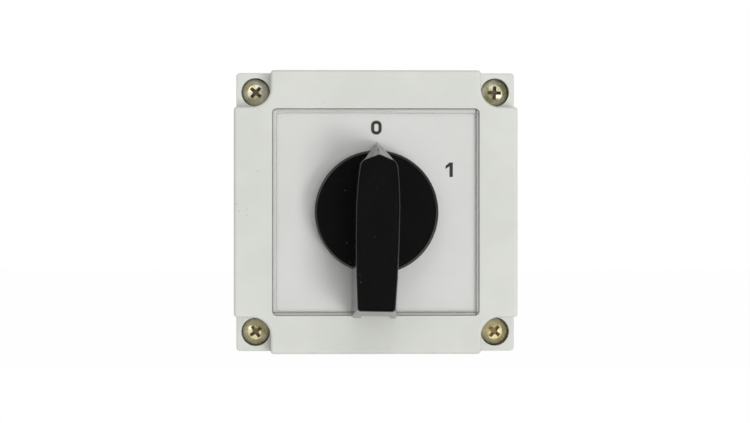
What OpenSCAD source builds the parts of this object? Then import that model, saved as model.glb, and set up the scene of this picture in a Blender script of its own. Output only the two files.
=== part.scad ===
// Enclosed two-position rotary switch: a wall box whose cover carries a cam switch
// with a lever handle. Lengths are in millimetres.
//
// Each module is written in the switch's own frame: x to the right, y up, and z out
// from the wall, with z = 0 on the wall and the shaft on the z axis. placed() turns
// that frame so that +Z is up and the front of the box looks towards -Y.

/* [Enclosure] */
// Width of the box's rim left and right of the front plate
rim_w = 12; // [11:0.5:25]
// Width of the box's rim above and below the front plate
rim_h = 12; // [11:0.5:25]
// Depth of the base, from the wall to the parting line
base_d = 40; // [36:1:70]
// Depth of the cover, from the parting line to its front
cover_d = 22; // [20:1:30]
// Thickness of the side walls
wall = 3; // [2.5:0.1:3.4]
// Thickness of the base's back
back_t = 3; // [2:0.5:5]
// Thickness of the cover's front wall under the plate
front_t = 2.2; // [2:0.1:3]
// How far the corner posts stand back from the side faces
post_inset = 0.6; // [0.2:0.1:1]
// Outer corner radius of the corner posts
post_r = 1.2; // [0.5:0.1:3]

/* [Cover screws] */
// Distance from the box's edges to a cover screw
screw_inset = 6.6; // [6.4:0.1:7.2]
// How far the corner pads lie below the front
pad_drop = 6.8; // [4:0.1:8]
// Gap between a screw's counterbore and the raised wall round it
notch_gap = 0.3; // [0.1:0.05:0.6]
// Gap round a screw head in its counterbore
head_gap = 0.65; // [0.4:0.05:0.8]
// Depth of the counterbore below the pad
counterbore_h = 5.6; // [4:0.1:7]
// Thread diameter of a cover screw
cover_screw_d = 4; // [3.5:0.1:4.2]
// Length of a cover screw under its head
cover_screw_l = 20; // [18:1:24]
// Diameter of a cover screw's head
cover_head_d = 7.6; // [7:0.1:8]
// Height of a cover screw's head
cover_head_h = 2.9; // [2.4:0.1:3.1]
// Thickness of the sealing washer under a cover screw's head
cover_washer_t = 0.8; // [0.5:0.1:1]
// Outer diameter of a threaded insert
insert_d = 6.4; // [5.8:0.1:6.8]
// Length of a threaded insert
insert_l = 9; // [6:0.5:10]

/* [Gasket] */
// Distance from the cavity to the gasket's groove
groove_gap = 0.8; // [0.6:0.1:1]
// Width of the gasket
gasket_w = 1.3; // [1:0.1:1.4]
// Height of the gasket
gasket_h = 1.2; // [0.8:0.1:2]

/* [Wall fixing and cable entries] */
// Distance from the box's sides to the wall-screw holes
wall_hole_side = 19; // [18.5:0.5:22]
// Distance from the box's top and bottom to the wall-screw holes
wall_hole_end = 9; // [9:0.5:12]
// Diameter of a wall-screw hole
wall_hole_d = 4.8; // [4:0.1:5.5]
// Diameter of the boss round a wall-screw hole
wall_boss_d = 10; // [9:0.5:10]
// Height of that boss above the back
wall_boss_h = 2; // [1:0.5:4]
// Diameter of the small cable knockout
knockout_d = 20.4; // [16.4:0.1:21]
// Diameter of the large cable knockout round it, at top and bottom
knockout_big_d = 25.4; // [24:0.1:26]
// Distance from the wall to the middle of the knockouts
knockout_z = 19; // [17:0.5:21]
// Width of a knockout's groove
knockout_groove = 0.8; // [0.5:0.1:1.2]
// Depth of a knockout's groove
knockout_depth = 1.4; // [0.8:0.1:2]

/* [Front plate] */
// Width and height of the clear plate
plate_w = 64; // [58:0.5:80]
// Corner radius of the clear plate
plate_r = 1.9; // [1:0.1:3]
// Thickness of the plate at its rim
plate_t = 1.8; // [1.6:0.1:2.4]
// Gap round the plate in its recess
plate_gap = 0.3; // [0.2:0.05:0.4]
// Width of the rim that stands down round the sheet
plate_lip = 1.2; // [0.8:0.1:2]
// Thickness of the legend sheet
legend_t = 0.4; // [0.2:0.1:0.6]
// Gap between the sheet and the rim
legend_gap = 0.2; // [0.1:0.1:0.4]
// Diameter of the hole in plate and sheet
plate_hole_d = 18; // [16.6:0.2:24]

/* [Handle] */
// Diameter of the disc
disc_d = 38; // [34:0.5:42]
// Height of the disc
disc_h = 7; // [5:0.5:9]
// Gap between the disc and the front plate
disc_gap = 0.5; // [0.3:0.1:1]
// Chamfer round the disc's front edge
disc_edge = 0.8; // [0.4:0.1:1.5]
// Height of the lever's top above the front of the box
lever_h = 25; // [22:0.5:30]
// Gap between the lever's ends and the front plate
lever_gap = 1.4; // [1:0.1:3]
// Reach of the pointer's foot
foot_tip = 21.7; // [20:0.1:24]
// Reach of the pointer at the lever's top
top_tip = 17.1; // [16.5:0.1:20]
// Height of the pointer's shoulders above the shaft
shoulder_y = 15.3; // [14.5:0.1:16]
// Width over the shoulders at the foot
foot_shoulder_w = 12; // [11:0.1:13]
// Width over the shoulders at the top
top_shoulder_w = 10.4; // [10:0.1:12]
// Greatest width of the lever
lever_w = 13.6; // [13:0.1:15]
// Reach of the tail's foot
foot_tail = 32.8; // [28:0.1:36]
// Reach of the tail at the lever's top
top_tail = 29.7; // [26:0.1:32.5]
// Width of the tail at its foot
foot_tail_w = 13.2; // [12:0.1:13.5]
// Width of the tail at the lever's top
top_tail_w = 10.7; // [10:0.1:13]
// Angle by which the lever sits clockwise of upright, within the play of its socket
lever_set = 1; // [0:0.1:2]
// Rounding of the lever's top edge
lever_edge = 0.6; // [0.3:0.1:0.8]
// Width of the lever's rim round the inlaid cap
cap_rim = 0.8; // [0.7:0.1:1.2]
// Thickness of the inlaid cap
cap_t = 1.2; // [0.8:0.1:2]
// Gap round the inlaid cap
cap_gap = 0.06; // [0.04:0.01:0.15]
// Diameter of the handle's hub
hub_d = 13; // [12:0.1:14]

/* [Shaft and seal] */
// Side of the square shaft
shaft_w = 6; // [5:0.1:6.4]
// Diameter of the shaft's rear journal
journal_d = 5.9; // [4.8:0.1:6]
// How far the shaft stands behind the end plate
shaft_tail = 2.4; // [2.2:0.1:3]
// How far the shaft reaches into the handle past the front of the box
shaft_reach = 14; // [10:0.5:15]
// Clearance each side of the square shaft in its sockets
socket_play = 0.05; // [0.02:0.01:0.1]
// Running clearance of round bearings, each side
bearing_play = 0.05; // [0.02:0.01:0.08]
// Diameter of the hole in the cover for the seal
seal_d = 16; // [15:0.1:16.4]
// Thread diameter of the handle screw
handle_screw_d = 4; // [3:0.1:4.2]
// Length of the handle screw under its head
handle_screw_l = 14; // [10:0.5:16]
// Diameter of the handle screw's head
handle_head_d = 7; // [6.5:0.1:7.5]
// Height of the handle screw's head
handle_head_h = 2.6; // [2:0.1:3]
// Thickness of the web that the handle screw pulls on
handle_web = 2; // [1.5:0.1:3]
// Diameter of the washer under the handle screw
handle_washer_d = 8.6; // [8:0.1:8.8]
// Thickness of that washer
handle_washer_t = 0.8; // [0.5:0.1:1]
// Gap round that washer in its pocket
pocket_gap = 0.3; // [0.1:0.05:0.4]

/* [Detent] */
// Angle between off and on
turn = 60; // [45, 60, 90]
// Width and height of the latch housing
latch_w = 48; // [46:0.5:50]
// Depth of the latch housing
latch_h = 12; // [12:0.5:14]
// Thickness of the latch housing's front wall
latch_wall = 2.5; // [2:0.1:3]
// Thickness of the plate behind the latch housing
latch_plate_t = 2; // [1.5:0.1:3]
// Distance from the latch housing's sides to the fixing screws
fix_inset = 6; // [5.5:0.1:6.5]
// Thread diameter of the switch's fixing screws
fix_screw_d = 4; // [3.5:0.1:4]
// Length of a fixing screw, with its head
fix_screw_l = 10; // [8:0.5:12]
// Head diameter of a fixing screw
fix_head_d = 7.2; // [7:0.1:7.6]
// Outer diameter of the star wheel
star_d = 19; // [18.6:0.1:19.2]
// Thickness of the star wheel
star_t = 5; // [4:0.5:5]
// Diameter of the star wheel's bearing hub
star_hub_d = 11; // [10.5:0.1:12]
// Radius of a notch in the star wheel
notch_star_r = 2.4; // [2.2:0.1:2.5]
// Gap between a leaf spring's bump and its notch
bump_gap = 0.3; // [0.3:0.05:0.5]
// Thickness of a leaf spring
leaf_t = 0.5; // [0.4:0.05:0.6]
// Width of a leaf spring along the shaft
leaf_w = 4; // [3:0.5:4]
// Length of a leaf spring
leaf_l = 34; // [30:0.5:38]
// Length of a leaf spring's end in its slot
leaf_seat = 3; // [2:0.5:4]
// Diameter of the stop disc
stop_d = 16; // [15:0.5:16.5]
// Gap between the stop disc's lug and the wall of the housing
lug_gap = 0.6; // [0.4:0.1:1]
// Angle that the lug takes up
stop_lug_a = 24; // [18:1:28]
// Gap between the stop disc and the star wheel
stop_gap = 0.7; // [0.5:0.1:1]
// Angle left free at each stop
stop_play = 0.3; // [0.2:0.05:0.5]

/* [Contact decks] */
// Width and height of a contact deck
deck_w = 44; // [42:0.5:50]
// Thickness of a deck's wall behind the contact springs
deck_wall = 1.5; // [1:0.1:2]
// Thickness of a deck's wall beside the terminals
side_wall = 1.9; // [1.5:0.1:2.2]
// Height of one deck along the shaft
deck_h = 12; // [11.5:0.1:13]
// Thickness of a deck's floor
deck_floor = 2; // [1.5:0.1:2.5]
// Thickness of the end plate
end_t = 3; // [2.5:0.1:4]
// How far the contacts travel between off and on
contact_travel = 1.95; // [1.6:0.05:2.1]
// Thickness of the cam's working face
cam_t = 6; // [4:0.5:7]
// Thickness of the cam's hub at the corners of the shaft
cam_hub_wall = 0.5; // [0.5:0.1:1]
// Running gap between the cam and a plunger's nose
cam_play = 0.08; // [0.06:0.01:0.1]
// Radius of a plunger's nose
nose_r = 1; // [0.8:0.1:1.2]
// Width of a plunger
plunger_w = 4; // [3.6:0.1:4.4]
// Length of a plunger from its nose to the bridge's seat
plunger_l = 6; // [5.5:0.1:6.5]
// Sliding clearance each side of a plunger
plunger_play = 0.06; // [0.04:0.01:0.1]
// Thickness of a plunger's guide walls
guide_wall = 1.6; // [1.2:0.1:2.4]
// Gap at each end of a moving bridge
bridge_gap = 1; // [0.5:0.1:1.5]
// Thickness of the wall between a bridge and a terminal
barrier_t = 1.9; // [1.5:0.1:2.2]
// Width of a moving bridge along the shaft
bridge_w = 4; // [3:0.5:5]
// Thickness of a moving bridge
bridge_t = 1.2; // [1:0.1:1.3]
// Distance from a bridge's end to the middle of its tip
tip_inset = 2; // [1.8:0.1:2.5]
// Diameter of a contact tip
tip_d = 3; // [2.4:0.1:3.2]
// Height of a contact tip
tip_h = 0.8; // [0.6:0.1:0.9]
// Gap left between the tips when the contacts are closed
tip_play = 0.06; // [0.04:0.01:0.1]
// Diameter of a contact spring
spring_d = 5; // [4.4:0.1:5.6]
// Wire diameter of a contact spring
spring_wire = 0.6; // [0.4:0.05:0.65]
// Turns of a contact spring
spring_turns = 4; // [3:0.5:4.5]
// Room for a contact spring with the contacts open
spring_room = 4.22; // [4:0.02:5]
// Thickness of a fixed contact's strip
strip_t = 1; // [0.8:0.1:1.1]
// Width of a fixed contact's strip along the shaft
strip_w = 6; // [5:0.5:6.5]
// Gap round a wire clamp in its pocket
clamp_gap = 0.4; // [0.2:0.05:0.5]
// Thread diameter of a terminal screw
terminal_screw_d = 3.5; // [3:0.1:3.5]
// Head diameter of a terminal screw
terminal_head_d = 6; // [5.5:0.1:6.4]
// Head height of a terminal screw
terminal_head_h = 2; // [1.6:0.1:2.4]
// Length of a terminal screw under its head
terminal_screw_l = 5.2; // [4:0.1:6]
// Side of the square clamp under a terminal screw's head
clamp_w = 6.4; // [6:0.1:6.8]
// Thickness of that clamp
clamp_t = 1.2; // [0.8:0.1:1.4]
// Distance from a deck's side to a tie bolt
tie_inset = 5; // [4:0.1:5.5]
// Thread diameter of a tie bolt
tie_d = 3; // [2.5:0.1:3.2]
// Head diameter of a tie bolt
tie_head_d = 5.5; // [5:0.1:5.8]
// Head height of a tie bolt
tie_head_h = 2.2; // [1.8:0.1:2.6]
// Thickness of a tie bolt's spring washer
tie_washer_t = 0.7; // [0.5:0.1:1]
// Depth to which a tie bolt reaches into the latch housing
tie_grip = 8; // [6:0.5:9]

/* [Earth terminal] */
// Length of the earth block
earth_l = 20; // [16:1:26]
// Width of the earth block
earth_w = 8; // [7:0.5:10]
// Height of the earth block
earth_h = 7; // [6:0.5:9]
// Distance between the earth screws
earth_pitch = 10; // [8:0.5:10]
// Thread diameter of an earth screw
earth_screw_d = 4; // [3:0.1:4.2]
// Diameter of the earth block's wire holes
earth_bore_d = 3.6; // [3:0.1:4]

/* [Hidden] */

$fn = 64;
eps = 0.01;             // overlap of a cut past the face that it opens
cut = 1;                // reach of a through cut past its solid
thread_play = 0.05;     // clearance each side of a screw in its thread
screw_play = 0.25;      // clearance each side of a screw in a plain hole
seat_play = 0.05;       // clearance round a piece that sits in a pocket
side_gap = 0.3;         // clearance beside a piece that turns between two walls
hub_gap = 0.4;          // gap behind the handle's hub
shoulder_gap = 0.2;     // gap between the shaft's shoulder and the end plate
clip_gap = 0.25;        // gap between the end plate and the retaining ring
clip_t = 0.8;           // thickness of the retaining ring
clip_depth = 0.5;       // depth of its groove in the shaft
clip_rim = 2;           // how far it stands out past the shaft
clip_mouth = 3.2;       // width of its opening

// Levels of the box, measured from the wall.
z_front = base_d + cover_d;
z_pad = z_front - pad_drop;
z_seat = z_pad - counterbore_h;
z_recess = z_front - plate_t;
z_inside = z_recess - front_t;

// Levels of the switch, which hangs from the inside of the cover's front.
z_latch = z_inside - latch_h;
z_latch_plate = z_latch - latch_plate_t;
z_deck_front = z_latch_plate - deck_h;
z_deck_rear = z_deck_front - deck_h;
z_end = z_deck_rear - end_t;
z_shoulder = z_deck_rear + shoulder_gap;
z_clip = z_end - clip_gap - clip_t;
z_shaft_rear = z_end - shaft_tail;
z_shaft_front = z_front + shaft_reach;

// Levels of the handle.
z_disc = z_front + disc_gap;
z_lever = z_front + lever_gap;
z_top = z_front + lever_h;
z_cap = z_top - cap_t;
z_web = z_shaft_front + seat_play;
hub_end = z_inside + hub_gap;

// Plan of the box.
box_w = plate_w + 2 * rim_w;
box_h = plate_w + 2 * rim_h;
counterbore_d = cover_head_d + 2 * head_gap;
notch_r = counterbore_d / 2 + notch_gap;
notch = screw_inset + notch_r;
wall_hole_x = box_w / 2 - wall_hole_side;
wall_hole_y = box_h / 2 - wall_hole_end;
post = 2 * screw_inset;
screw_x = box_w / 2 - screw_inset;
screw_y = box_h / 2 - screw_inset;
cavity_w = box_w - 2 * wall;
cavity_h = box_h - 2 * wall;
cavity_corner = post - wall;
recess_w = plate_w + 2 * plate_gap;
legend_w = plate_w - 2 * (plate_lip + legend_gap);

// Detent.
latch_corner = 3;
bump_r = notch_star_r - bump_gap;
fix_x = latch_w / 2 - fix_inset;
leaf_gap = 0.5;         // gap behind a leaf spring
leaf_slot = 0.2;        // clearance round a leaf spring's ends
notch_out = 0.8;        // how far a notch's centre lies outside the star wheel
star_front_gap = 0.5;   // gap in front of the star wheel
star_hub_gap = 0.1;     // gap in front of its hub
stop_ring_gap = 0.6;    // gap between the stop disc and the stop blocks
stop_wall_gap = 0.4;    // gap between the stop blocks and the wall of the housing
stop_wall_a = 32;       // angle that a stop block takes up
latch_pocket_w = 2 * (star_d / 2 + leaf_t + bump_r + leaf_gap);
latch_pocket_h = leaf_l - 2 * leaf_seat;
leaf_x = star_d / 2 + notch_out;
z_star = z_inside - latch_wall - star_front_gap - star_t;
z_leaf = z_star + (star_t - leaf_w) / 2;
z_stop = z_latch + side_gap;
stop_t = z_star - z_stop - stop_gap;
stop_lug_r = latch_pocket_w / 2 - lug_gap;
stop_ring_r = stop_d / 2 + stop_ring_gap;
stop_wall_r = latch_pocket_w / 2 - stop_wall_gap;

// Contact decks: heights above the shaft, from a deck's outer wall inwards.
chamber_top = deck_w / 2 - deck_wall;
plunger_top = chamber_top - spring_room - bridge_t;
cam_r = plunger_top - plunger_l - cam_play;
nose_y = cam_r + nose_r + cam_play;
tip_closed_y = plunger_top - contact_travel - tip_h;
fixed_tip_y = tip_closed_y - tip_play;
strip_y = fixed_tip_y - tip_h - strip_t;
cam_margin = 12;        // angle of even ramp past each end of the turn
cam_step = 3;           // angle between the points of the cam's outline
cam_room_gap = 0.6;     // gap round the cam at its widest
cam_room_r = cam_r + contact_travel * cam_margin / turn + cam_room_gap;
cam_hub_r = (shaft_w / 2 + socket_play) * sqrt(2) + cam_hub_wall;
shaft_room_gap = 0.4;   // gap round the shaft's corners
shaft_room_r = shaft_w / 2 * sqrt(2) + shaft_room_gap;
pin_r = 1;              // radius of the pin that carries a bridge
pin_stub = 1.8;         // how far that pin stands past the bridge
pin_l = bridge_t + pin_stub;
guide_rise = 1.5;       // height of the plunger's guides above the strips
guide_top = strip_y + strip_t + guide_rise;
wire_window_h = 3.6;    // height of a wire's window in the deck's side
deck_corner = 2;

// Contact decks: the chambers along the shaft.
chamber_h = deck_h - deck_floor;
chamber_mid = deck_floor + chamber_h / 2;
plunger_h = chamber_h - 2 * side_gap;
tie_top = z_latch + tie_grip;

// Contact decks: places to the side of the shaft, from a deck's side inwards.
tie_x = deck_w / 2 - tie_inset;
pocket_x1 = deck_w / 2 - side_wall;
pocket_x0 = pocket_x1 - clamp_w - 2 * clamp_gap;
screw_end_gap = 0.3;    // gap past the end of a terminal screw
pocket_y0 = strip_y + strip_t + clamp_t - terminal_screw_l - screw_end_gap;
terminal_x = (pocket_x0 + pocket_x1) / 2;
chamber_x = pocket_x0 - barrier_t;
bridge_l = 2 * (chamber_x - bridge_gap);
tip_x = bridge_l / 2 - tip_inset;
guide_x = plunger_w / 2 + plunger_play + guide_wall;
strip_gap = 0.1;        // gap between a fixed contact and the plunger's guide
strip_end_gap = 0.5;    // gap at a fixed contact's outer end
strip_inner_x = guide_x + strip_gap;
strip_outer_x = pocket_x1 - strip_end_gap;

// Earth terminal, on the floor left of the switch.
earth_x = -(cavity_w / 2 + latch_w / 2) / 2;

// ---------------------------------------------------------------- shared shapes

// Turns the switch's frame so that up is +Z and the front looks towards -Y.
module placed() {
    rotate([90, 0, 0]) children();
}

// Moves a shape out from the wall.
module lift(z) {
    translate([0, 0, z]) children();
}

// A rectangle with round corners.
module rounded(w, h, r) {
    square([w - 2 * r, h], center = true);
    square([w, h - 2 * r], center = true);
    for (x = [-1, 1], y = [-1, 1])
        translate([x * (w / 2 - r), y * (h / 2 - r)]) circle(r);
}

// A rectangle whose corners are cut out square.
module cross(w, h, corner) {
    square([w, h - 2 * corner], center = true);
    square([w - 2 * corner, h], center = true);
}

// The four corners of a rectangle of places.
module at_corners(x, y) {
    for (i = [-1, 1], j = [-1, 1]) translate([i * x, j * y, 0]) children();
}

// A cross recess for a screwdriver, cut down from z = 0.
module cross_recess(size, depth) {
    for (a = [45, 135])
        rotate([0, 0, a]) translate([-size / 2, -size / 9, -depth])
            cube([size, size / 4.5, depth + cut]);
}

// A pan-head screw, with its head above z = 0 and its shank below.
module pan_screw(d, l, head_d, head_h, edge = 0.45) {
    dome_r = (pow(head_d / 2, 2) + pow(head_h * (1 - edge), 2)) / (2 * head_h * (1 - edge));
    difference() {
        union() {
            cylinder(h = head_h * edge, d = head_d);
            intersection() {
                lift(head_h - dome_r) sphere(dome_r);
                lift(head_h * edge - eps) cylinder(h = head_h, d = head_d);
            }
        }
        lift(head_h) cross_recess(head_d * 0.6, head_h * 0.75);
    }
    lift(-l) cylinder(h = l + eps, d = d);
}

// A square hole for the shaft, from z = 0 up.
module shaft_socket(h) {
    w = shaft_w + 2 * socket_play;
    translate([-w / 2, -w / 2, 0]) cube([w, w, h]);
}

// ---------------------------------------------------------------- box

module box_outline() {
    cross(box_w, box_h, notch);
    rounded(box_w - 2 * post_inset, box_h - 2 * post_inset, post_r);
}

// The room that the raised cross leaves for the four screws.
module corner_notches() {
    reach = notch + cut;
    at_corners(screw_x, screw_y) circle(notch_r);
    for (i = [0, 1], j = [0, 1]) mirror([i, 0]) mirror([0, j]) {
        translate([screw_x - notch_r, screw_y]) square([reach, reach]);
        translate([screw_x, screw_y - notch_r]) square([reach, reach]);
    }
}

module cavity_outline() {
    cross(cavity_w, cavity_h, cavity_corner);
}

module gasket_outline(extra) {
    outer = groove_gap + gasket_w + extra;
    inner = groove_gap - extra;
    difference() {
        cross(cavity_w + 2 * outer, cavity_h + 2 * outer, cavity_corner);
        cross(cavity_w + 2 * inner, cavity_h + 2 * inner, cavity_corner);
    }
}

// A round groove sunk into a side face, whose outward direction is z.
module knockout_ring(d) {
    lift(-knockout_depth) difference() {
        cylinder(h = knockout_depth + cut, d = d);
        lift(-cut) cylinder(h = knockout_depth + 3 * cut, d = d - 2 * knockout_groove);
    }
}

module side_knockouts() {
    for (side = [0, 180]) {
        rotate([0, 0, side]) translate([0, box_h / 2, knockout_z]) rotate([-90, 0, 0]) {
            knockout_ring(knockout_d);
            knockout_ring(knockout_big_d);
        }
        rotate([0, 0, side]) translate([box_w / 2, 0, knockout_z]) rotate([0, 90, 0])
            knockout_ring(knockout_d);
    }
}

module base_box() {
    color("gainsboro") placed() difference() {
        union() {
            difference() {
                linear_extrude(base_d) box_outline();
                lift(back_t) linear_extrude(base_d) cavity_outline();
            }
            at_corners(wall_hole_x, wall_hole_y)
                cylinder(h = back_t + wall_boss_h, d = wall_boss_d);
        }
        at_corners(wall_hole_x, wall_hole_y)
            lift(-cut) cylinder(h = back_t + wall_boss_h + 2 * cut, d = wall_hole_d);
        lift(base_d - gasket_h) linear_extrude(gasket_h + cut) gasket_outline(seat_play);
        at_corners(screw_x, screw_y) {
            lift(base_d - insert_l) cylinder(h = insert_l + cut, d = insert_d + 2 * seat_play);
            lift(z_seat - cover_screw_l - 1)
                cylinder(h = cover_screw_l, d = cover_screw_d + 2 * screw_play);
        }
        side_knockouts();
    }
}

module cover() {
    color("gainsboro") placed() difference() {
        union() {
            lift(base_d) linear_extrude(z_pad - base_d) box_outline();
            lift(z_pad) linear_extrude(pad_drop) difference() {
                box_outline();
                corner_notches();
            }
        }
        lift(base_d - cut) linear_extrude(z_inside - base_d + cut) cavity_outline();
        lift(z_recess) linear_extrude(plate_t + cut)
            rounded(recess_w, recess_w, plate_r + plate_gap);
        lift(z_inside - cut) cylinder(h = front_t + 2 * cut, d = seal_d);
        at_corners(screw_x, screw_y) {
            lift(base_d - cut)
                cylinder(h = cover_d, d = cover_screw_d + 2 * screw_play);
            lift(z_seat) cylinder(h = counterbore_h + cut, d = counterbore_d);
        }
        at_corners(fix_x, fix_x) {
            lift(z_inside - cut) cylinder(h = front_t + 2 * cut, d = fix_screw_d + 2 * screw_play);
            lift(z_recess) countersink(fix_head_d + 2 * seat_play, fix_screw_d, cut);
        }
    }
}

// A 90 degree countersink below z = 0, with a straight mouth above it.
module countersink(head_d, shank_d, mouth) {
    depth = (head_d - shank_d) / 2;
    lift(-depth) cylinder(h = depth, d1 = shank_d, d2 = head_d);
    lift(-eps) cylinder(h = mouth, d = head_d);
}

module cover_gasket() {
    color("dimgray") placed() lift(base_d - gasket_h) linear_extrude(gasket_h) gasket_outline(0);
}

module cover_screws() {
    color("darkkhaki") placed() at_corners(screw_x, screw_y) lift(z_seat + cover_washer_t)
        pan_screw(cover_screw_d, cover_screw_l, cover_head_d, cover_head_h);
}

module cover_washers() {
    color("black") placed() at_corners(screw_x, screw_y) lift(z_seat) difference() {
        cylinder(h = cover_washer_t, d = counterbore_d - 2 * seat_play);
        lift(-cut) cylinder(h = cover_washer_t + 2 * cut, d = cover_screw_d + 2 * thread_play);
    }
}

module cover_inserts() {
    color("goldenrod") placed() at_corners(screw_x, screw_y) lift(base_d - insert_l) difference() {
        cylinder(h = insert_l, d = insert_d);
        lift(-cut) cylinder(h = insert_l + 2 * cut, d = cover_screw_d + 2 * thread_play);
    }
}

// ---------------------------------------------------------------- front plate

module legend_sheet() {
    color("whitesmoke") placed() lift(z_recess) linear_extrude(legend_t) difference() {
        rounded(legend_w, legend_w, plate_r / 2);
        circle(d = plate_hole_d);
    }
}

module window_plate() {
    color("lightcyan", 0.5) placed() difference() {
        lift(z_recess) linear_extrude(plate_t) rounded(plate_w, plate_w, plate_r);
        lift(z_recess - cut) linear_extrude(legend_t + cut)
            rounded(plate_w - 2 * plate_lip, plate_w - 2 * plate_lip, plate_r / 2);
        lift(z_recess) cylinder(h = plate_t + cut, d = plate_hole_d);
    }
}

// ---------------------------------------------------------------- detent

module switch_screws() {
    color("silver") placed() at_corners(fix_x, fix_x) lift(z_recess) difference() {
        union() {
            lift(-(fix_head_d - fix_screw_d) / 2)
                cylinder(h = (fix_head_d - fix_screw_d) / 2, d1 = fix_screw_d, d2 = fix_head_d);
            lift(-fix_screw_l) cylinder(h = fix_screw_l, d = fix_screw_d);
        }
        cross_recess(fix_head_d * 0.55, 1.2);
    }
}

module shaft_seal() {
    color("black") placed() lift(z_inside) difference() {
        cylinder(h = front_t, d = seal_d - 2 * seat_play);
        lift(-cut) cylinder(h = front_t + 2 * cut, d = hub_d + 2 * bearing_play);
    }
}

// A sector of a ring, from angle a0 to a1.
module sector(r0, r1, a0, a1) {
    reach = 2 * r1;
    middle = (a0 + a1) / 2;
    intersection() {
        difference() {
            circle(r1);
            circle(r0);
        }
        polygon([[0, 0], reach * [cos(a0), sin(a0)], reach * [cos(middle), sin(middle)],
                 reach * [cos(a1), sin(a1)]]);
    }
}

// The two blocks on the latch plate that the lug runs against.
module stop_blocks() {
    off_a = 90 + stop_lug_a / 2 + stop_play;
    on_a = 90 - turn - stop_lug_a / 2 - stop_play;
    sector(stop_ring_r, stop_wall_r, off_a, off_a + stop_wall_a);
    sector(stop_ring_r, stop_wall_r, on_a - stop_wall_a, on_a);
}

module latch_housing() {
    color("dimgray") placed() difference() {
        lift(z_latch) linear_extrude(latch_h) rounded(latch_w, latch_w, latch_corner);
        lift(z_latch - cut) linear_extrude(latch_h - latch_wall + cut) {
            square([latch_pocket_w, latch_pocket_h], center = true);
            for (side = [-1, 1]) translate([side * (leaf_x + leaf_t / 2), 0])
                square([leaf_t + 2 * leaf_slot, leaf_l + 2 * leaf_slot], center = true);
        }
        lift(z_latch) cylinder(h = latch_h + cut, d = star_hub_d + 2 * bearing_play);
        at_corners(fix_x, fix_x) lift(z_recess - fix_screw_l - 0.5)
            cylinder(h = fix_screw_l, d = fix_screw_d + 2 * thread_play);
        for (side = [-1, 1]) translate([side * tie_x, 0, z_latch - cut])
            cylinder(h = tie_grip + 1.5, d = tie_d + 2 * thread_play);
    }
}

module latch_plate() {
    color("dimgray") placed() {
        lift(z_latch_plate) linear_extrude(latch_plate_t) difference() {
            rounded(deck_w, deck_w, deck_corner);
            circle(shaft_room_r);
            for (side = [-1, 1]) translate([side * tie_x, 0]) circle(d = tie_d + 2 * screw_play);
        }
        lift(z_latch - eps) linear_extrude(z_stop + stop_t + stop_gap / 3 - z_latch + eps)
            stop_blocks();
    }
}

module latch_springs() {
    color("silver") placed() for (side = [0, 1]) mirror([side, 0, 0])
        lift(z_leaf) linear_extrude(leaf_w) {
            difference() {
                translate([leaf_x + leaf_t / 2, 0]) square([leaf_t, leaf_l], center = true);
                translate([leaf_x, 0]) circle(bump_r - leaf_t);
            }
            difference() {
                translate([leaf_x, 0]) circle(bump_r);
                translate([leaf_x, 0]) circle(bump_r - leaf_t);
                translate([leaf_x + leaf_t, -bump_r * 2]) square(bump_r * 4);
            }
        }
}

module star_wheel() {
    color("ivory") placed() difference() {
        union() {
            lift(z_star) linear_extrude(star_t) difference() {
                circle(d = star_d);
                for (a = [0 : turn : 359])
                    rotate(a) translate([leaf_x, 0]) circle(notch_star_r);
            }
            lift(z_star + star_t - eps)
                cylinder(h = z_inside - z_star - star_t - star_hub_gap + eps, d = star_hub_d);
        }
        lift(z_star - cut) shaft_socket(latch_h + cut);
    }
}

module stop_disc() {
    color("silver") placed() lift(z_stop) difference() {
        linear_extrude(stop_t) {
            circle(d = stop_d);
            sector(stop_d / 2 - 1, stop_lug_r, 90 - stop_lug_a / 2, 90 + stop_lug_a / 2);
        }
        lift(-cut) shaft_socket(stop_t + 2 * cut);
    }
}

// ---------------------------------------------------------------- shaft

module shaft() {
    color("silver") placed() difference() {
        union() {
            translate([-shaft_w / 2, -shaft_w / 2, z_shoulder])
                cube([shaft_w, shaft_w, z_shaft_front - z_shoulder]);
            lift(z_shaft_rear) cylinder(h = z_shoulder - z_shaft_rear + eps, d = journal_d);
        }
        lift(z_clip - seat_play) difference() {
            cylinder(h = clip_t + 2 * seat_play, d = journal_d + cut);
            lift(-cut) cylinder(h = clip_t + 2 * cut, d = journal_d - 2 * clip_depth);
        }
        lift(z_shaft_front - handle_screw_l)
            cylinder(h = handle_screw_l + cut, d = handle_screw_d + 2 * thread_play);
    }
}

module shaft_clip() {
    reach = journal_d / 2 + clip_rim;
    color("dimgray") placed() lift(z_clip) linear_extrude(clip_t) difference() {
        circle(reach);
        circle(d = journal_d - 2 * clip_depth + 2 * seat_play);
        translate([-clip_mouth / 2, -reach - cut]) square([clip_mouth, reach + cut]);
    }
}

module end_plate() {
    color("dimgray") placed() lift(z_end) linear_extrude(end_t) difference() {
        rounded(deck_w, deck_w, deck_corner);
        circle(d = journal_d + 2 * bearing_play);
        for (side = [-1, 1]) translate([side * tie_x, 0]) circle(d = tie_d + 2 * screw_play);
    }
}

module tie_bolts() {
    color("silver") placed() for (side = [-1, 1])
        translate([side * tie_x, 0, z_end - tie_washer_t]) mirror([0, 0, 1])
            pan_screw(tie_d, tie_top - z_end + tie_washer_t, tie_head_d, tie_head_h);
}

module tie_washers() {
    color("silver") placed() for (side = [-1, 1])
        translate([side * tie_x, 0, z_end - tie_washer_t]) linear_extrude(tie_washer_t)
            difference() {
                circle(d = tie_head_d);
                circle(d = tie_d + 2 * screw_play);
                square([0.5, tie_head_d]);
            }
}

// ---------------------------------------------------------------- contact decks

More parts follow.
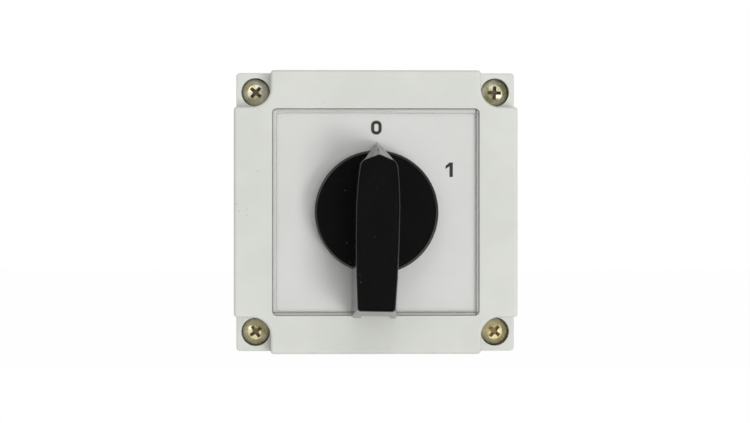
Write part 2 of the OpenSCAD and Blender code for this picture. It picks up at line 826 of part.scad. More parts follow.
// Radius of the cam at angle p past the point that holds the plunger open.
function cam_radius(p) =
    let (q = p > 180 - cam_margin ? p - 180 : p,
         low = cam_r - contact_travel * (turn + cam_margin) / turn,
         high = cam_r + contact_travel * cam_margin / turn,
         u = (q - turn - cam_margin) / (180 - turn - 2 * cam_margin))
    q <= turn + cam_margin
        ? cam_r - contact_travel * q / turn
        : low + (high - low) * (1 - cos(180 * u)) / 2;

module cam(z0) {
    lift(z0) difference() {
        union() {
            lift(chamber_mid - cam_t / 2) linear_extrude(cam_t)
                polygon([for (p = [0 : cam_step : 360 - cam_step])
                    cam_radius(p % 180) * [cos(90 + p), sin(90 + p)]]);
            lift(deck_floor + side_gap) cylinder(h = plunger_h, r = cam_hub_r);
        }
        lift(-cut) shaft_socket(deck_h + 2 * cut);
    }
}

// The open chambers of a deck above its floor, in plan.
module deck_rooms() {
    circle(cam_room_r);
    for (j = [0, 1]) mirror([0, j]) {
        difference() {
            translate([-chamber_x, strip_y - seat_play])
                square([2 * chamber_x, chamber_top - strip_y + seat_play]);
            translate([-guide_x, 0]) square([2 * guide_x, guide_top]);
        }
        translate([-plunger_w / 2 - plunger_play, 0])
            square([plunger_w + 2 * plunger_play, guide_top + eps]);
        for (i = [0, 1]) mirror([i, 0])
            translate([pocket_x0, pocket_y0]) square([pocket_x1 - pocket_x0, deck_w]);
    }
}

module deck(z0) {
    strip_low = chamber_mid - strip_w / 2 - seat_play;
    lift(z0) difference() {
        linear_extrude(deck_h) rounded(deck_w, deck_w, deck_corner);
        lift(deck_floor) linear_extrude(deck_h) deck_rooms();
        lift(-cut) cylinder(h = deck_h, r = shaft_room_r);
        for (side = [-1, 1]) translate([side * tie_x, 0, -cut])
            cylinder(h = deck_h + 2 * cut, d = tie_d + 2 * screw_play);
        for (i = [0, 1], j = [0, 1]) mirror([i, 0, 0]) mirror([0, j, 0]) {
            translate([chamber_x - eps, strip_y - seat_play, strip_low])
                cube([pocket_x0 - chamber_x + 2 * eps, strip_t + 2 * seat_play, deck_h]);
            translate([pocket_x1 - eps, strip_y + strip_t, strip_low])
                cube([deck_w, wire_window_h, strip_w + 2 * seat_play]);
        }
    }
}

// The four places of a deck's terminals, as mirror images of the upper right one.
module each_terminal(z0) {
    lift(z0 + chamber_mid) for (i = [0, 1], j = [0, 1])
        mirror([i, 0, 0]) mirror([0, j, 0]) children();
}

module fixed_contacts(z0) {
    each_terminal(z0) {
        difference() {
            translate([strip_inner_x, strip_y, -strip_w / 2])
                cube([strip_outer_x - strip_inner_x, strip_t, strip_w]);
            translate([terminal_x, strip_y - cut, 0]) rotate([-90, 0, 0])
                cylinder(h = strip_t + 2 * cut, d = terminal_screw_d + 2 * thread_play);
        }
        translate([tip_x, strip_y + strip_t - eps, 0]) rotate([-90, 0, 0])
            cylinder(h = tip_h + eps, d = tip_d);
    }
}

module wire_clamps(z0) {
    each_terminal(z0) translate([terminal_x, strip_y + strip_t, 0]) rotate([-90, 0, 0])
        difference() {
            translate([-clamp_w / 2, -clamp_w / 2, 0]) cube([clamp_w, clamp_w, clamp_t]);
            lift(-cut) cylinder(h = clamp_t + 2 * cut, d = terminal_screw_d + 2 * thread_play);
        }
}

module terminal_screws(z0) {
    each_terminal(z0) translate([terminal_x, strip_y + strip_t + clamp_t, 0])
        rotate([-90, 0, 0])
            pan_screw(terminal_screw_d, terminal_screw_l, terminal_head_d, terminal_head_h);
}

// A plunger above the shaft, with its nose on the cam and a pin through the bridge.
module plunger(z0, up) {
    lift(z0 + deck_floor + side_gap) mirror([0, 1 - up, 0]) {
        linear_extrude(plunger_h) {
            translate([0, nose_y]) circle(nose_r);
            polygon([[-nose_r, nose_y], [nose_r, nose_y], [plunger_w / 2, nose_y + nose_r],
                     [plunger_w / 2, plunger_top], [-plunger_w / 2, plunger_top],
                     [-plunger_w / 2, nose_y + nose_r]]);
        }
        translate([0, plunger_top - eps, plunger_h / 2]) rotate([-90, 0, 0])
            cylinder(h = pin_l + eps, r = pin_r);
    }
}

module bridge(z0, up) {
    lift(z0 + chamber_mid) mirror([0, 1 - up, 0]) {
        difference() {
            translate([-bridge_l / 2, plunger_top, -bridge_w / 2])
                cube([bridge_l, bridge_t, bridge_w]);
            translate([0, plunger_top - cut, 0]) rotate([-90, 0, 0])
                cylinder(h = bridge_t + 2 * cut, r = pin_r + seat_play);
        }
        for (side = [-1, 1])
            translate([side * tip_x, plunger_top - tip_h, 0]) rotate([-90, 0, 0])
                cylinder(h = tip_h + eps, d = tip_d);
    }
}

// A coil along z: rings of points that follow a helix, closed at both ends.
module coil(r, wire, length, turns) {
    around = 6;
    per_turn = 12;
    count = floor(turns * per_turn);
    rise = length - wire;
    rings = [for (i = [0 : count]) let (a = 360 * i / per_turn, h = wire / 2 + rise * i / count)
        for (k = [0 : around - 1]) let (b = 360 * k / around, q = r + wire / 2 * cos(b))
            [q * cos(a), q * sin(a), h + wire / 2 * sin(b)]];
    sides = [for (i = [0 : count - 1], k = [0 : around - 1])
        let (m = (k + 1) % around)
            [i * around + k, i * around + m, (i + 1) * around + m, (i + 1) * around + k]];
    caps = [[for (k = [around - 1 : -1 : 0]) k],
            [for (k = [0 : around - 1]) count * around + k]];
    polyhedron(points = rings, faces = concat(sides, caps), convexity = 6);
}

module contact_spring(z0, up) {
    seat = plunger_top + bridge_t + seat_play;
    lift(z0 + chamber_mid) mirror([0, 1 - up, 0]) translate([0, seat, 0]) rotate([-90, 0, 0])
        coil((spring_d - spring_wire) / 2, spring_wire, chamber_top - seat - seat_play,
             spring_turns);
}

// ---------------------------------------------------------------- handle

// Half the lever's width at height y: widest at the shaft, narrower at both ends.
function half_width(y, end_y, middle, end) =
    middle / 2 - (middle - end) / 2 * pow(y / end_y, 2);

// The lever's plan: a pointed bow, bulging sides and a square tail.
function lever_plan(tip, shoulder, middle, tail, tail_w, inset) =
    let (steps = 6,
         bow = [for (i = [0 : steps]) let (y = (shoulder_y - inset) * i / steps)
             [half_width(y, shoulder_y, middle, shoulder) - inset, y]],
         stern = [for (i = [steps : -1 : 1]) let (y = -(tail - inset) * i / steps)
             [half_width(y, -tail, middle, tail_w) - inset, y]],
         right = concat(stern, bow),
         last = len(right) - 1)
    concat(right, [[0, tip - 1.6 * inset]],
           [for (i = [last : -1 : 0]) [-right[i][0], right[i][1]]]);

module lever_slice(z, inset) {
    t = (z - z_lever) / (z_top - z_lever);
    lift(z) linear_extrude(eps) polygon(lever_plan(
        foot_tip + (top_tip - foot_tip) * t,
        foot_shoulder_w + (top_shoulder_w - foot_shoulder_w) * t,
        lever_w,
        foot_tail + (top_tail - foot_tail) * t,
        foot_tail_w + (top_tail_w - foot_tail_w) * t,
        inset));
}

// The plan of the cap's seat, smaller than the lever's top by its rim.
module cap_outline(inset) {
    polygon(lever_plan(top_tip, top_shoulder_w, lever_w, top_tail, top_tail_w, inset));
}

module handle() {
    color("black") placed() difference() {
        union() {
            lift(z_disc) rotate_extrude() polygon([
                [0, 0], [disc_d / 2, 0], [disc_d / 2, disc_h - disc_edge],
                [disc_d / 2 - 0.3 * disc_edge, disc_h - 0.3 * disc_edge],
                [disc_d / 2 - disc_edge, disc_h], [0, disc_h]]);
            lift(hub_end) cylinder(h = z_disc - hub_end + eps, d = hub_d);
            rotate([0, 0, -lever_set]) hull() {
                lever_slice(z_lever, 0);
                lever_slice(z_top - lever_edge, 0);
                lever_slice(z_top - eps, lever_edge * 0.6);
            }
        }
        lift(hub_end - cut) shaft_socket(z_web - hub_end + cut);
        lift(z_web) cylinder(h = lever_h, d = handle_screw_d + 2 * screw_play);
        lift(z_web + handle_web)
            cylinder(h = lever_h, d = handle_washer_d + 2 * pocket_gap);
        rotate([0, 0, -lever_set]) lift(z_cap) linear_extrude(cap_t + cut) cap_outline(cap_rim);
    }
}

module lever_cap() {
    color("black") placed() rotate([0, 0, -lever_set]) lift(z_cap) linear_extrude(cap_t)
        cap_outline(cap_rim + cap_gap);
}

module handle_screw() {
    color("silver") placed() lift(z_web + handle_web + handle_washer_t)
        pan_screw(handle_screw_d, handle_screw_l, handle_head_d, handle_head_h);
}

module handle_washer() {
    color("silver") placed() lift(z_web + handle_web) difference() {
        cylinder(h = handle_washer_t, d = handle_washer_d);
        lift(-cut) cylinder(h = handle_washer_t + 2 * cut, d = handle_screw_d + 2 * thread_play);
    }
}

// ---------------------------------------------------------------- earth terminal

module earth_block() {
    color("goldenrod") placed() translate([earth_x, 0, back_t]) difference() {
        translate([-earth_w / 2, -earth_l / 2, 0]) cube([earth_w, earth_l, earth_h]);
        for (side = [-1, 1]) translate([0, side * earth_pitch / 2, 0]) {
            lift(1) cylinder(h = earth_h, d = earth_screw_d + 2 * thread_play);
            translate([-earth_w, 0, earth_h / 2]) rotate([0, 90, 0])
                cylinder(h = 2 * earth_w, d = earth_bore_d);
        }
    }
}

module earth_screws() {
    color("silver") placed() for (side = [-1, 1])
        translate([earth_x, side * earth_pitch / 2, back_t + earth_h])
            pan_screw(earth_screw_d, earth_h - 1.5, earth_screw_d * 1.9, 2.4);
}

// ---------------------------------------------------------------- nodes of the decks

module deck_front() { color("dimgray") placed() deck(z_deck_front); }
module deck_rear() { color("dimgray") placed() deck(z_deck_rear); }
module fixed_contacts_front() { color("goldenrod") placed() fixed_contacts(z_deck_front); }
module fixed_contacts_rear() { color("goldenrod") placed() fixed_contacts(z_deck_rear); }
module terminal_screws_front() { color("silver") placed() terminal_screws(z_deck_front); }
module terminal_screws_rear() { color("silver") placed() terminal_screws(z_deck_rear); }
module wire_clamps_front() { color("silver") placed() wire_clamps(z_deck_front); }
module wire_clamps_rear() { color("silver") placed() wire_clamps(z_deck_rear); }
module cam_front() { color("ivory") placed() cam(z_deck_front); }
module cam_rear() { color("ivory") placed() cam(z_deck_rear); }
module plunger_1() { color("ivory") placed() plunger(z_deck_front, 1); }
module plunger_2() { color("ivory") placed() plunger(z_deck_front, 0); }
module plunger_3() { color("ivory") placed() plunger(z_deck_rear, 1); }
module plunger_4() { color("ivory") placed() plunger(z_deck_rear, 0); }
module bridge_1() { color("goldenrod") placed() bridge(z_deck_front, 1); }
module bridge_2() { color("goldenrod") placed() bridge(z_deck_front, 0); }
module bridge_3() { color("goldenrod") placed() bridge(z_deck_rear, 1); }
module bridge_4() { color("goldenrod") placed() bridge(z_deck_rear, 0); }
module contact_spring_1() { color("silver") placed() contact_spring(z_deck_front, 1); }
module contact_spring_2() { color("silver") placed() contact_spring(z_deck_front, 0); }
module contact_spring_3() { color("silver") placed() contact_spring(z_deck_rear, 1); }
module contact_spring_4() { color("silver") placed() contact_spring(z_deck_rear, 0); }

base_box();
cover();
cover_gasket();
cover_screws();
cover_washers();
cover_inserts();
legend_sheet();
window_plate();
switch_screws();
shaft_seal();
latch_housing();
latch_springs();
latch_plate();
deck_front();
deck_rear();
fixed_contacts_front();
fixed_contacts_rear();
terminal_screws_front();
terminal_screws_rear();
wire_clamps_front();
wire_clamps_rear();
end_plate();
tie_bolts();
tie_washers();
earth_block();
earth_screws();
contact_spring_1();
contact_spring_2();
contact_spring_3();
contact_spring_4();
handle();
lever_cap();
handle_screw();
handle_washer();
shaft();
shaft_clip();
star_wheel();
stop_disc();
cam_front();
cam_rear();
plunger_1();
plunger_2();
plunger_3();
plunger_4();
bridge_1();
bridge_2();
bridge_3();
bridge_4();
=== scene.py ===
# %% [markdown]
# # An enclosed rotary switch
# This lesson dresses a finished construction model of a wall-mounted rotary switch: a
# pale moulded box, a clear front plate over a printed card, and a black lever knob.
# The construction model fixes every size and place. Here the visible pieces are
# modelled again with soft edges and real finishes, and the rest get a finish only.

# %% Load the construction model
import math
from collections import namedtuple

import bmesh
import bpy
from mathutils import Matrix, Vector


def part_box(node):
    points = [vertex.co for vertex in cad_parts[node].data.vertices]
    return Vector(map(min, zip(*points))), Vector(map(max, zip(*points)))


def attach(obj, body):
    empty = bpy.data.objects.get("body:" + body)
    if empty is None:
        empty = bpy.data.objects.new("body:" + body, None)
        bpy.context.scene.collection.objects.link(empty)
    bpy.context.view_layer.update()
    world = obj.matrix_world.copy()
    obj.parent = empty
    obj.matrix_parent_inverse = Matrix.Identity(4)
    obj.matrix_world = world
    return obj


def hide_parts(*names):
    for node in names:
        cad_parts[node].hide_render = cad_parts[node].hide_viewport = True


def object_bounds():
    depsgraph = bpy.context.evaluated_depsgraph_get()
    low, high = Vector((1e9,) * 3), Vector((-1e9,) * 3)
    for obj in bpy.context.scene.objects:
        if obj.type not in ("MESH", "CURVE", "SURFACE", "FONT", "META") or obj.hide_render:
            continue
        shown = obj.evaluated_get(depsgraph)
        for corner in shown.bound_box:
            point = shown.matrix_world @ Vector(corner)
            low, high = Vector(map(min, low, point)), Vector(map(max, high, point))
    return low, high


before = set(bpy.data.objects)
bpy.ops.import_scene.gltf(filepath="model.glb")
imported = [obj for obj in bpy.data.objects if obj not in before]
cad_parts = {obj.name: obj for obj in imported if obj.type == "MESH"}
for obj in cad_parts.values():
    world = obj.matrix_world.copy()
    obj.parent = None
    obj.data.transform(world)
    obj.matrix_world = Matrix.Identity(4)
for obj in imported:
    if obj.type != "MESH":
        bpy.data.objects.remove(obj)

# %% [markdown]
# ## Start clean
# A new Blender file holds a cube, a lamp and a camera. They would count as pieces of
# the switch, so they go first. The box round the construction model is kept, because
# the finished switch may not grow past it.

for name in ("Cube", "Light", "Camera"):
    if name in bpy.data.objects:
        bpy.data.objects.remove(bpy.data.objects[name])
construction_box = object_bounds()
print("construction box:", [[round(v, 4) for v in c] for c in construction_box])

# %% [markdown]
# ## Places on the switch
# A maker measures this switch from the wall outwards, in millimetres. So this lesson
# gives each place as a distance to the right, up, and out from the wall, and one small
# function turns that into Blender's metres, where the front looks towards -Y.

# %% Millimetres, right, up and out
MM = 0.001
At = namedtuple("At", "x up out")


def place(x, up, out):
    """Blender's point for a place on the switch, in millimetres."""
    return Vector((x * MM, -out * MM, up * MM))


def measured(point):
    """The place on the switch of one of Blender's points."""
    return At(point.x / MM, point.z / MM, -point.y / MM)


def node_box(node):
    """The lowest and highest place of a construction node."""
    low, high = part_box(node)
    return At(low.x / MM, low.z / MM, -high.y / MM), At(high.x / MM, high.z / MM, -low.y / MM)


cover_low, cover_high = node_box("cover")
HALF = cover_high.x
PARTING = cover_low.out
FRONT = cover_high.out
print("half width", round(HALF, 2), "parting line", round(PARTING, 2), "front", round(FRONT, 2))

# %% [markdown]
# ## Hands on the mesh
# Every piece below is modelled as by hand: a primitive goes in at its size and place,
# then edit-mode operators shape it. An operator acts on whatever is selected, so these
# helpers deselect everything first, then select by place. A test on an edge gets its two
# ends, and a test on a face gets its centre and the way it looks.


# %% Compare places
def near(a, b):
    """True where two measures agree to a hundredth of a millimetre."""
    return abs(a - b) < 0.01


def along_out(a, b):
    """True for an edge that runs straight out from the wall."""
    return near(a.x, b.x) and near(a.up, b.up)


def level_at(out):
    """A test for edges that lie at one distance from the wall."""
    return lambda a, b: near(a.out, out) and near(b.out, out)


def anything(*parts):
    """A test that every part passes."""
    return True


# %% Select one object, and parts of it
def nothing():
    """Leave edit mode and deselect everything."""
    if bpy.context.mode != "OBJECT":
        bpy.ops.object.mode_set(mode="OBJECT")
    bpy.ops.object.select_all(action="DESELECT")


def only(obj):
    """Leave edit mode, then select obj alone."""
    nothing()
    obj.select_set(True)
    bpy.context.view_layer.objects.active = obj


def pick(obj, kind, test):
    """In edit mode, select the VERT, EDGE or FACE parts of obj that pass the test."""
    if bpy.context.mode != "EDIT_MESH" or bpy.context.object != obj:
        only(obj)
        bpy.ops.object.mode_set(mode="EDIT")
    bpy.ops.mesh.select_mode(type=kind)
    bpy.ops.mesh.select_all(action="DESELECT")
    mesh = bmesh.from_edit_mesh(obj.data)
    if kind == "VERT":
        found = [v for v in mesh.verts if test(measured(v.co))]
    elif kind == "EDGE":
        found = [e for e in mesh.edges if test(*(measured(v.co) for v in e.verts))]
    else:
        found = [f for f in mesh.faces if test(
            measured(f.calc_center_median()), At(f.normal.x, f.normal.z, -f.normal.y))]
    for part in found:
        part.select_set(True)
    bmesh.update_edit_mesh(obj.data)


def bevel(size, steps=3):
    """Round the picked edges to a radius in millimetres."""
    bpy.ops.mesh.bevel(offset=size * MM, segments=steps, profile=0.5, affect="EDGES")


# %% Primitives at their size and place
def named(name):
    """Name the new primitive, and put its place into its mesh."""
    obj = bpy.context.object
    obj.name = obj.data.name = name
    bpy.ops.object.transform_apply(location=True, rotation=True, scale=True)
    return obj


def block(name, x, up, out):
    """A cube primitive that fills three ranges in millimetres."""
    nothing()
    middle = [(low + high) / 2 for low, high in (x, up, out)]
    size = [(high - low) * MM for low, high in (x, out, up)]
    bpy.ops.mesh.primitive_cube_add(size=1, location=place(*middle), scale=size)
    return named(name)


def rod(name, radius, out, x=0, up=0, sides=96, tilt=(math.pi / 2, 0, 0)):
    """A cylinder primitive whose axis looks out from the wall, unless it is tilted."""
    nothing()
    bpy.ops.mesh.primitive_cylinder_add(
        vertices=sides, radius=radius * MM, depth=(out[1] - out[0]) * MM,
        location=place(x, up, (out[0] + out[1]) / 2), rotation=tilt)
    return named(name)


# %% Modifiers that are applied at once
def apply(obj, kind, **settings):
    """Add one modifier to obj, and apply it."""
    only(obj)
    modifier = obj.modifiers.new(kind.lower(), kind)
    for key, value in settings.items():
        setattr(modifier, key, value)
    bpy.ops.object.modifier_apply(modifier=modifier.name)
    return obj


def carve(obj, tool, operation="DIFFERENCE"):
    """Cut a tool out of obj, or weld it on, and throw the tool away."""
    apply(obj, "BOOLEAN", operation=operation, object=tool, solver="EXACT")
    bpy.data.objects.remove(tool)
    return obj


def to_corners(obj):
    """Repeat obj at the four corners of the box."""
    return apply(obj, "MIRROR", use_axis=(True, False, True), use_mirror_merge=False)


# %% [markdown]
# ## A short way to write shaders
# A finish is a small program made of nodes. Wrapping a socket in a class that knows
# arithmetic lets the maths read as maths: `0.4 + 0.1 * noise` adds the two Math nodes
# that it needs. Every other node comes from one method, which takes the node's type,
# its settings, and what goes into its sockets.


# %% Sockets with arithmetic
class Value:
    """One output socket, with operators that add Math nodes."""

    def __init__(self, finish, socket):
        self.finish, self.socket = finish, socket

    def maths(self, operation, *others):
        return self.finish.add("Math", {"operation": operation}, dict(enumerate((self, *others))))

    def __add__(self, other):
        return self.maths("ADD", other)

    def __sub__(self, other):
        return self.maths("SUBTRACT", other)

    def __rsub__(self, other):
        return self.finish.add("Math", {"operation": "SUBTRACT"}, {0: other, 1: self})

    def __mul__(self, other):
        return self.maths("MULTIPLY", other)

    __radd__, __rmul__ = __add__, __mul__

    def between(self, low, high):
        """0 below low, 1 above high, and smooth between them."""
        return self.finish.add("MapRange", {"interpolation_type": "SMOOTHSTEP"},
                               {"Value": self, "From Min": low, "From Max": high})


# %% Finishes
class Finish:
    """The nodes of a material or a world, with a short way to add more."""

    def __init__(self, name, world=False):
        self.owner = (bpy.data.worlds if world else bpy.data.materials).new(name)
        self.owner.use_nodes = True
        self.tree = self.owner.node_tree
        self.tree.nodes.clear()
        self.end = "OutputWorld" if world else "OutputMaterial"
        self.spot = self.add("TexCoord", output="Generated" if world else "Object")

    def add(self, kind, settings=(), sockets=(), output=0):
        node = self.tree.nodes.new("ShaderNode" + kind)
        for key, value in dict(settings).items():
            setattr(node, key, value)
        for key, value in dict(sockets).items():
            if isinstance(value, Value):
                self.tree.links.new(value.socket, node.inputs[key])
            else:
                node.inputs[key].default_value = value
        return Value(self, node.outputs[output])

    def noise(self, size, detail=3.0, stretch=(1, 1, 1)):
        """Noise whose blotches are about size millimetres wide."""
        where = self.spot
        if stretch != (1, 1, 1):
            where = self.add("Mapping", {}, {"Vector": where, "Scale": stretch})
        return self.add("TexNoise", {}, {"Vector": where, "Scale": 1 / (size * MM),
                                         "Detail": detail})

    def along(self, axis, sign=1):
        """How far a point lies along one of Blender's axes, in millimetres."""
        return self.add("SeparateXYZ", {}, {0: self.spot}, output=axis) * (sign / MM)

    def specks(self, spacing, radius):
        """1 on sparse round specks, 0 elsewhere."""
        cells = self.add("TexVoronoi", {"distance": "EUCLIDEAN"},
                         {"Vector": self.spot, "Scale": 1 / (spacing * MM)}, output="Distance")
        rim = radius / spacing
        return 1 - cells.between(0.6 * rim, rim)

    def mix(self, factor, low, high):
        """A colour between two colours."""
        return self.add("Mix", {"data_type": "RGBA"}, {0: factor, 6: low, 7: high}, output=2)

    def bump(self, height, depth):
        """A Normal from heights between 0 and 1, for a relief depth in millimetres."""
        return self.add("Bump", {}, {"Height": height, "Strength": 1.0, "Distance": depth * MM})

    def surface(self, **sockets):
        """A Principled surface; a socket's spaces are written as underscores."""
        return self.add("BsdfPrincipled", {}, {k.replace("_", " "): v for k, v in sockets.items()})

    def done(self, shader):
        output = self.tree.nodes.new("ShaderNode" + self.end)
        self.tree.links.new(shader.socket, output.inputs["Surface"])
        return self.owner


def grey(level, warmth=0.0):
    """A near-neutral colour, a little warmer where warmth is above 0."""
    return (level * (1 + warmth), level, level * (1 - warmth), 1)


# %% [markdown]
# ## Moulded plastics
# The box is a satin ABS or polycarbonate in a pale greenish grey. A moulded face is
# never one flat colour: the pigment flows, the tool leaves a fine grain, and handling
# leaves faint smudges and specks of dust. Each of those is one noise here, at its real
# size. The inner pieces are glass-filled nylon and natural nylon, with a coarser grain.

# %% Plastics
DARK_DUST = grey(0.12, 0.05)
SMUDGED = 0.12


def moulded(name, low, high, roughness, grain=0.35, relief=0.004, dust=0.0, flow=14):
    """A moulded plastic: pigment flow, a fine grain, smudges, and some dust.

    grain and flow are the widths of the grain and of the pigment's clouds, and relief
    is the depth of the grain, all in millimetres.
    """
    finish = Finish(name)
    tone = finish.noise(flow, 4.0).between(0.3, 0.7)
    colour = finish.mix(tone, low, high)
    if dust:
        seldom = finish.noise(9, 1.0).between(0.56, 0.64)
        spots = finish.specks(2.3, 0.2) * seldom
        colour = finish.mix(spots * dust, colour, DARK_DUST)
    smudge = finish.noise(7, 5.0) - 0.5
    height = finish.noise(grain, 2.0) * 0.7 + finish.noise(grain * 6, 1.0) * 0.3
    return finish.done(finish.surface(
        Base_Color=colour, Roughness=roughness + SMUDGED * smudge,
        Normal=finish.bump(height, relief)))


def box_plastic():
    return moulded("satin_grey_plastic", (0.655, 0.665, 0.625, 1), (0.69, 0.70, 0.66, 1),
                   0.42, dust=0.6)


def deck_plastic():
    return moulded("dark_deck_plastic", grey(0.045), grey(0.065), 0.5, grain=0.5,
                   relief=0.01)


def nylon():
    return moulded("natural_nylon", (0.66, 0.62, 0.50, 1), (0.74, 0.70, 0.58, 1), 0.4,
                   flow=5)


def black_rubber():
    return moulded("black_rubber", grey(0.012), grey(0.022), 0.75, grain=0.3, relief=0.015,
                   flow=3)


def gasket_foam():
    return moulded("gasket_foam", grey(0.05), grey(0.09), 0.9, grain=0.25, relief=0.08,
                   flow=1.5)


# %% [markdown]
# ## The knob's gloss
# The knob is jet black and polished. Its front faces look nearly black, while its steep
# walls mirror the pale plate, because any gloss mirrors more at a grazing angle. That
# comes from the shader by itself. The details are hair scratches, dust that lies in
# sparse specks, and a slow change of polish.

# %% Black gloss
JET, WORN_JET = grey(0.0058), grey(0.0078, 0.03)
PALE_DUST = grey(0.35, 0.05)


def black_gloss():
    """Polished black plastic with a few hair scratches and specks of dust."""
    finish = Finish("black_gloss")
    polish = finish.noise(6, 4.0)
    hair = finish.noise(0.5, 2.0, stretch=(0.12, 1, 1.6)).between(0.70, 0.78)
    seldom = finish.noise(11, 1.0).between(0.55, 0.62)
    dust = finish.specks(1.9, 0.13) * seldom
    body = finish.mix(polish, JET, WORN_JET)
    colour = finish.mix(dust * 0.7 + hair * 0.02, body, PALE_DUST)
    return finish.done(finish.surface(
        Base_Color=colour, IOR=1.5, Roughness=0.05 + 0.07 * polish + 0.15 * hair,
        Normal=finish.bump(finish.noise(0.8, 2.0), 0.0015)))


# %% [markdown]
# ## Metals
# The inner screws and the shaft are bright zinc, the springs are drawn steel, and the
# contacts are stamped brass. A drawn or turned part shows fine lines, which a stretched
# noise gives, and handling leaves duller patches, which a second noise gives.

# %% Metal finishes
METAL_GRAIN, METAL_RELIEF = 0.35, 0.004
TARNISH, WEAR = 3.0, 1.7


def metal(name, low, high, roughness, lines=(1, 1, 1)):
    """A metal: a wandering tint, fine lines or a fine grain, and worn patches."""
    finish = Finish(name)
    tint = finish.noise(TARNISH, 3.0).between(0.32, 0.68)
    worn = finish.noise(WEAR, 4.0) - 0.5
    height = finish.noise(METAL_GRAIN, 2.0, stretch=lines)
    return finish.done(finish.surface(
        Base_Color=finish.mix(tint, low, high), Metallic=1.0,
        Roughness=roughness + 0.1 * worn, Normal=finish.bump(height, METAL_RELIEF)))


def bright_zinc():
    return metal("bright_zinc", grey(0.55), grey(0.66), 0.28, lines=(1, 0.15, 1))


def spring_steel():
    return metal("spring_steel", grey(0.38), grey(0.5), 0.25, lines=(0.2, 1, 1))


def brass():
    return metal("brass", (0.68, 0.50, 0.22, 1), (0.78, 0.62, 0.32, 1), 0.25)


def contact_brass():
    return metal("contact_brass", (0.70, 0.50, 0.26, 1), (0.80, 0.63, 0.36, 1), 0.32,
                 lines=(0.2, 1, 1))


# %% [markdown]
# ## Passivated cover screws
# The cover screws are steel under a thin yellow film, whose tint wanders between straw
# and olive. A patchy grey round the rim is painted shade, the cross is painted dark as
# painted shade, and the two lower screws are more golden. Four materials could do this,
# but one is enough when the finish itself measures where a point lies on its screw.

# %% Where the cover screws are
HEAD_R = 3.8
BALL = 7.6
screw_corner = node_box("cover_screws")[1]
HEAD_TOP = screw_corner.out
SCREW = screw_corner.x - HEAD_R
print("cover screws", round(SCREW, 2), "mm from the middle, tops", round(HEAD_TOP, 2), "mm out")

# %% Yellow zinc
OLIVE, STRAW = (0.62, 0.57, 0.30, 1), (0.96, 0.91, 0.80, 1)
# The second colour on the next line is painted shade for the rim of the dome.
GOLD, RIM_SHADE = (0.94, 0.80, 0.44, 1), (0.60, 0.58, 0.48, 1)
# Painted shade colours for the cross recess.
SHADED, SHADED_GOLD = (0.20, 0.17, 0.09, 1), (0.46, 0.34, 0.14, 1)
CROSS_R = 2.5


def yellow_zinc():
    """Passivated steel, with painted shade round the rim of a cover screw and in its cross."""
    finish = Finish("yellow_zinc")
    across, out, upward = finish.along("X"), finish.along("Y", -1), finish.along("Z")
    side, level = across.maths("ABSOLUTE") - SCREW, upward.maths("ABSOLUTE") - SCREW
    squared = side * side + level * level
    radius = squared.maths("SQRT")
    below_dome = HEAD_TOP - out - squared * (0.5 / BALL)
    # Painted shade: the cross recess is made darker, rougher and less metallic.
    cross_shade = below_dome.between(0.12, 0.5) * (1 - radius.between(CROSS_R, CROSS_R + 0.1))
    # Painted shade: a patchy duller grey round the rim of the dome.
    rim = radius.between(3.1, 3.6) * finish.noise(2.2, 2.0).between(0.2, 0.6)
    lower_pair = (-1 * upward).between(-1.0, 1.0)
    gold = lower_pair * (0.3 + 0.45 * across.between(-1.0, 1.0))
    tint = finish.mix(finish.noise(2.6, 3.0).between(0.35, 0.65), OLIVE, STRAW)
    tint = finish.mix(gold, tint, GOLD)
    tint = finish.mix(rim * 0.8, tint, RIM_SHADE)
    tint = finish.mix(cross_shade, tint, finish.mix(gold, SHADED, SHADED_GOLD))
    worn = finish.noise(WEAR, 4.0)
    return finish.done(finish.surface(
        Base_Color=tint, Metallic=1 - 0.6 * cross_shade, Roughness=0.2 + 0.12 * worn + 0.2 * cross_shade,
        Normal=finish.bump(finish.noise(METAL_GRAIN, 2.0), METAL_RELIEF)))


# %% [markdown]
# ## Card, print and clear plate
# The card is matt and nearly neutral, and its print is a warm black. The plate over it
# is clear plastic: light goes straight through, and a gloss that grows towards grazing
# angles lies on top. A see-through surface mixed with a glossy one by the facing angle
# does this without the speckled light that full glass gives over a card this close.
# The moulded border is thicker. Painted shade darkens it in a fine line along the plate's
# edge, in one more line along its right and lower sides, and lightly between them, while
# painted light makes it paler, most near the top right. So the finish measures how far
# inside the edge a point lies.


# %% Card and print
def legend_card():
    return moulded("legend_card", (0.745, 0.75, 0.725, 1), (0.77, 0.775, 0.755, 1), 0.5,
                   grain=0.2, relief=0.002, dust=0.2, flow=18)


def print_black():
    return moulded("print_black", grey(0.021, 0.08), grey(0.028, 0.08), 0.5, grain=0.2,
                   relief=0.002)


# %% Clear plate's finish
PLATE = node_box("window_plate")[1].x
PLATE_R = 1.35
# Strengths of the painted shade on the border: the edge line, and the lines and band on the right
# and lower sides.
EDGE_SHADE, RIGHT_SHADE, RIGHT_SHADE_LINE, LOW_SHADE_LINE = 0.45, 0.055, 0.165, 0.22
# Painted light: how much paler the border is made, more near the top right.
BORDER_LIGHT, BORDER_LIGHT_TOP, HAZE = 0.12, 0.25, 0.012
GLOSS_AHEAD, GLOSS_GRAZING = 0.035, 0.8


def near_edge(value, start, full):
    """0 until start millimetres short of the plate's edge, 1 from full short of it."""
    return value.between(PLATE - start, PLATE - full)


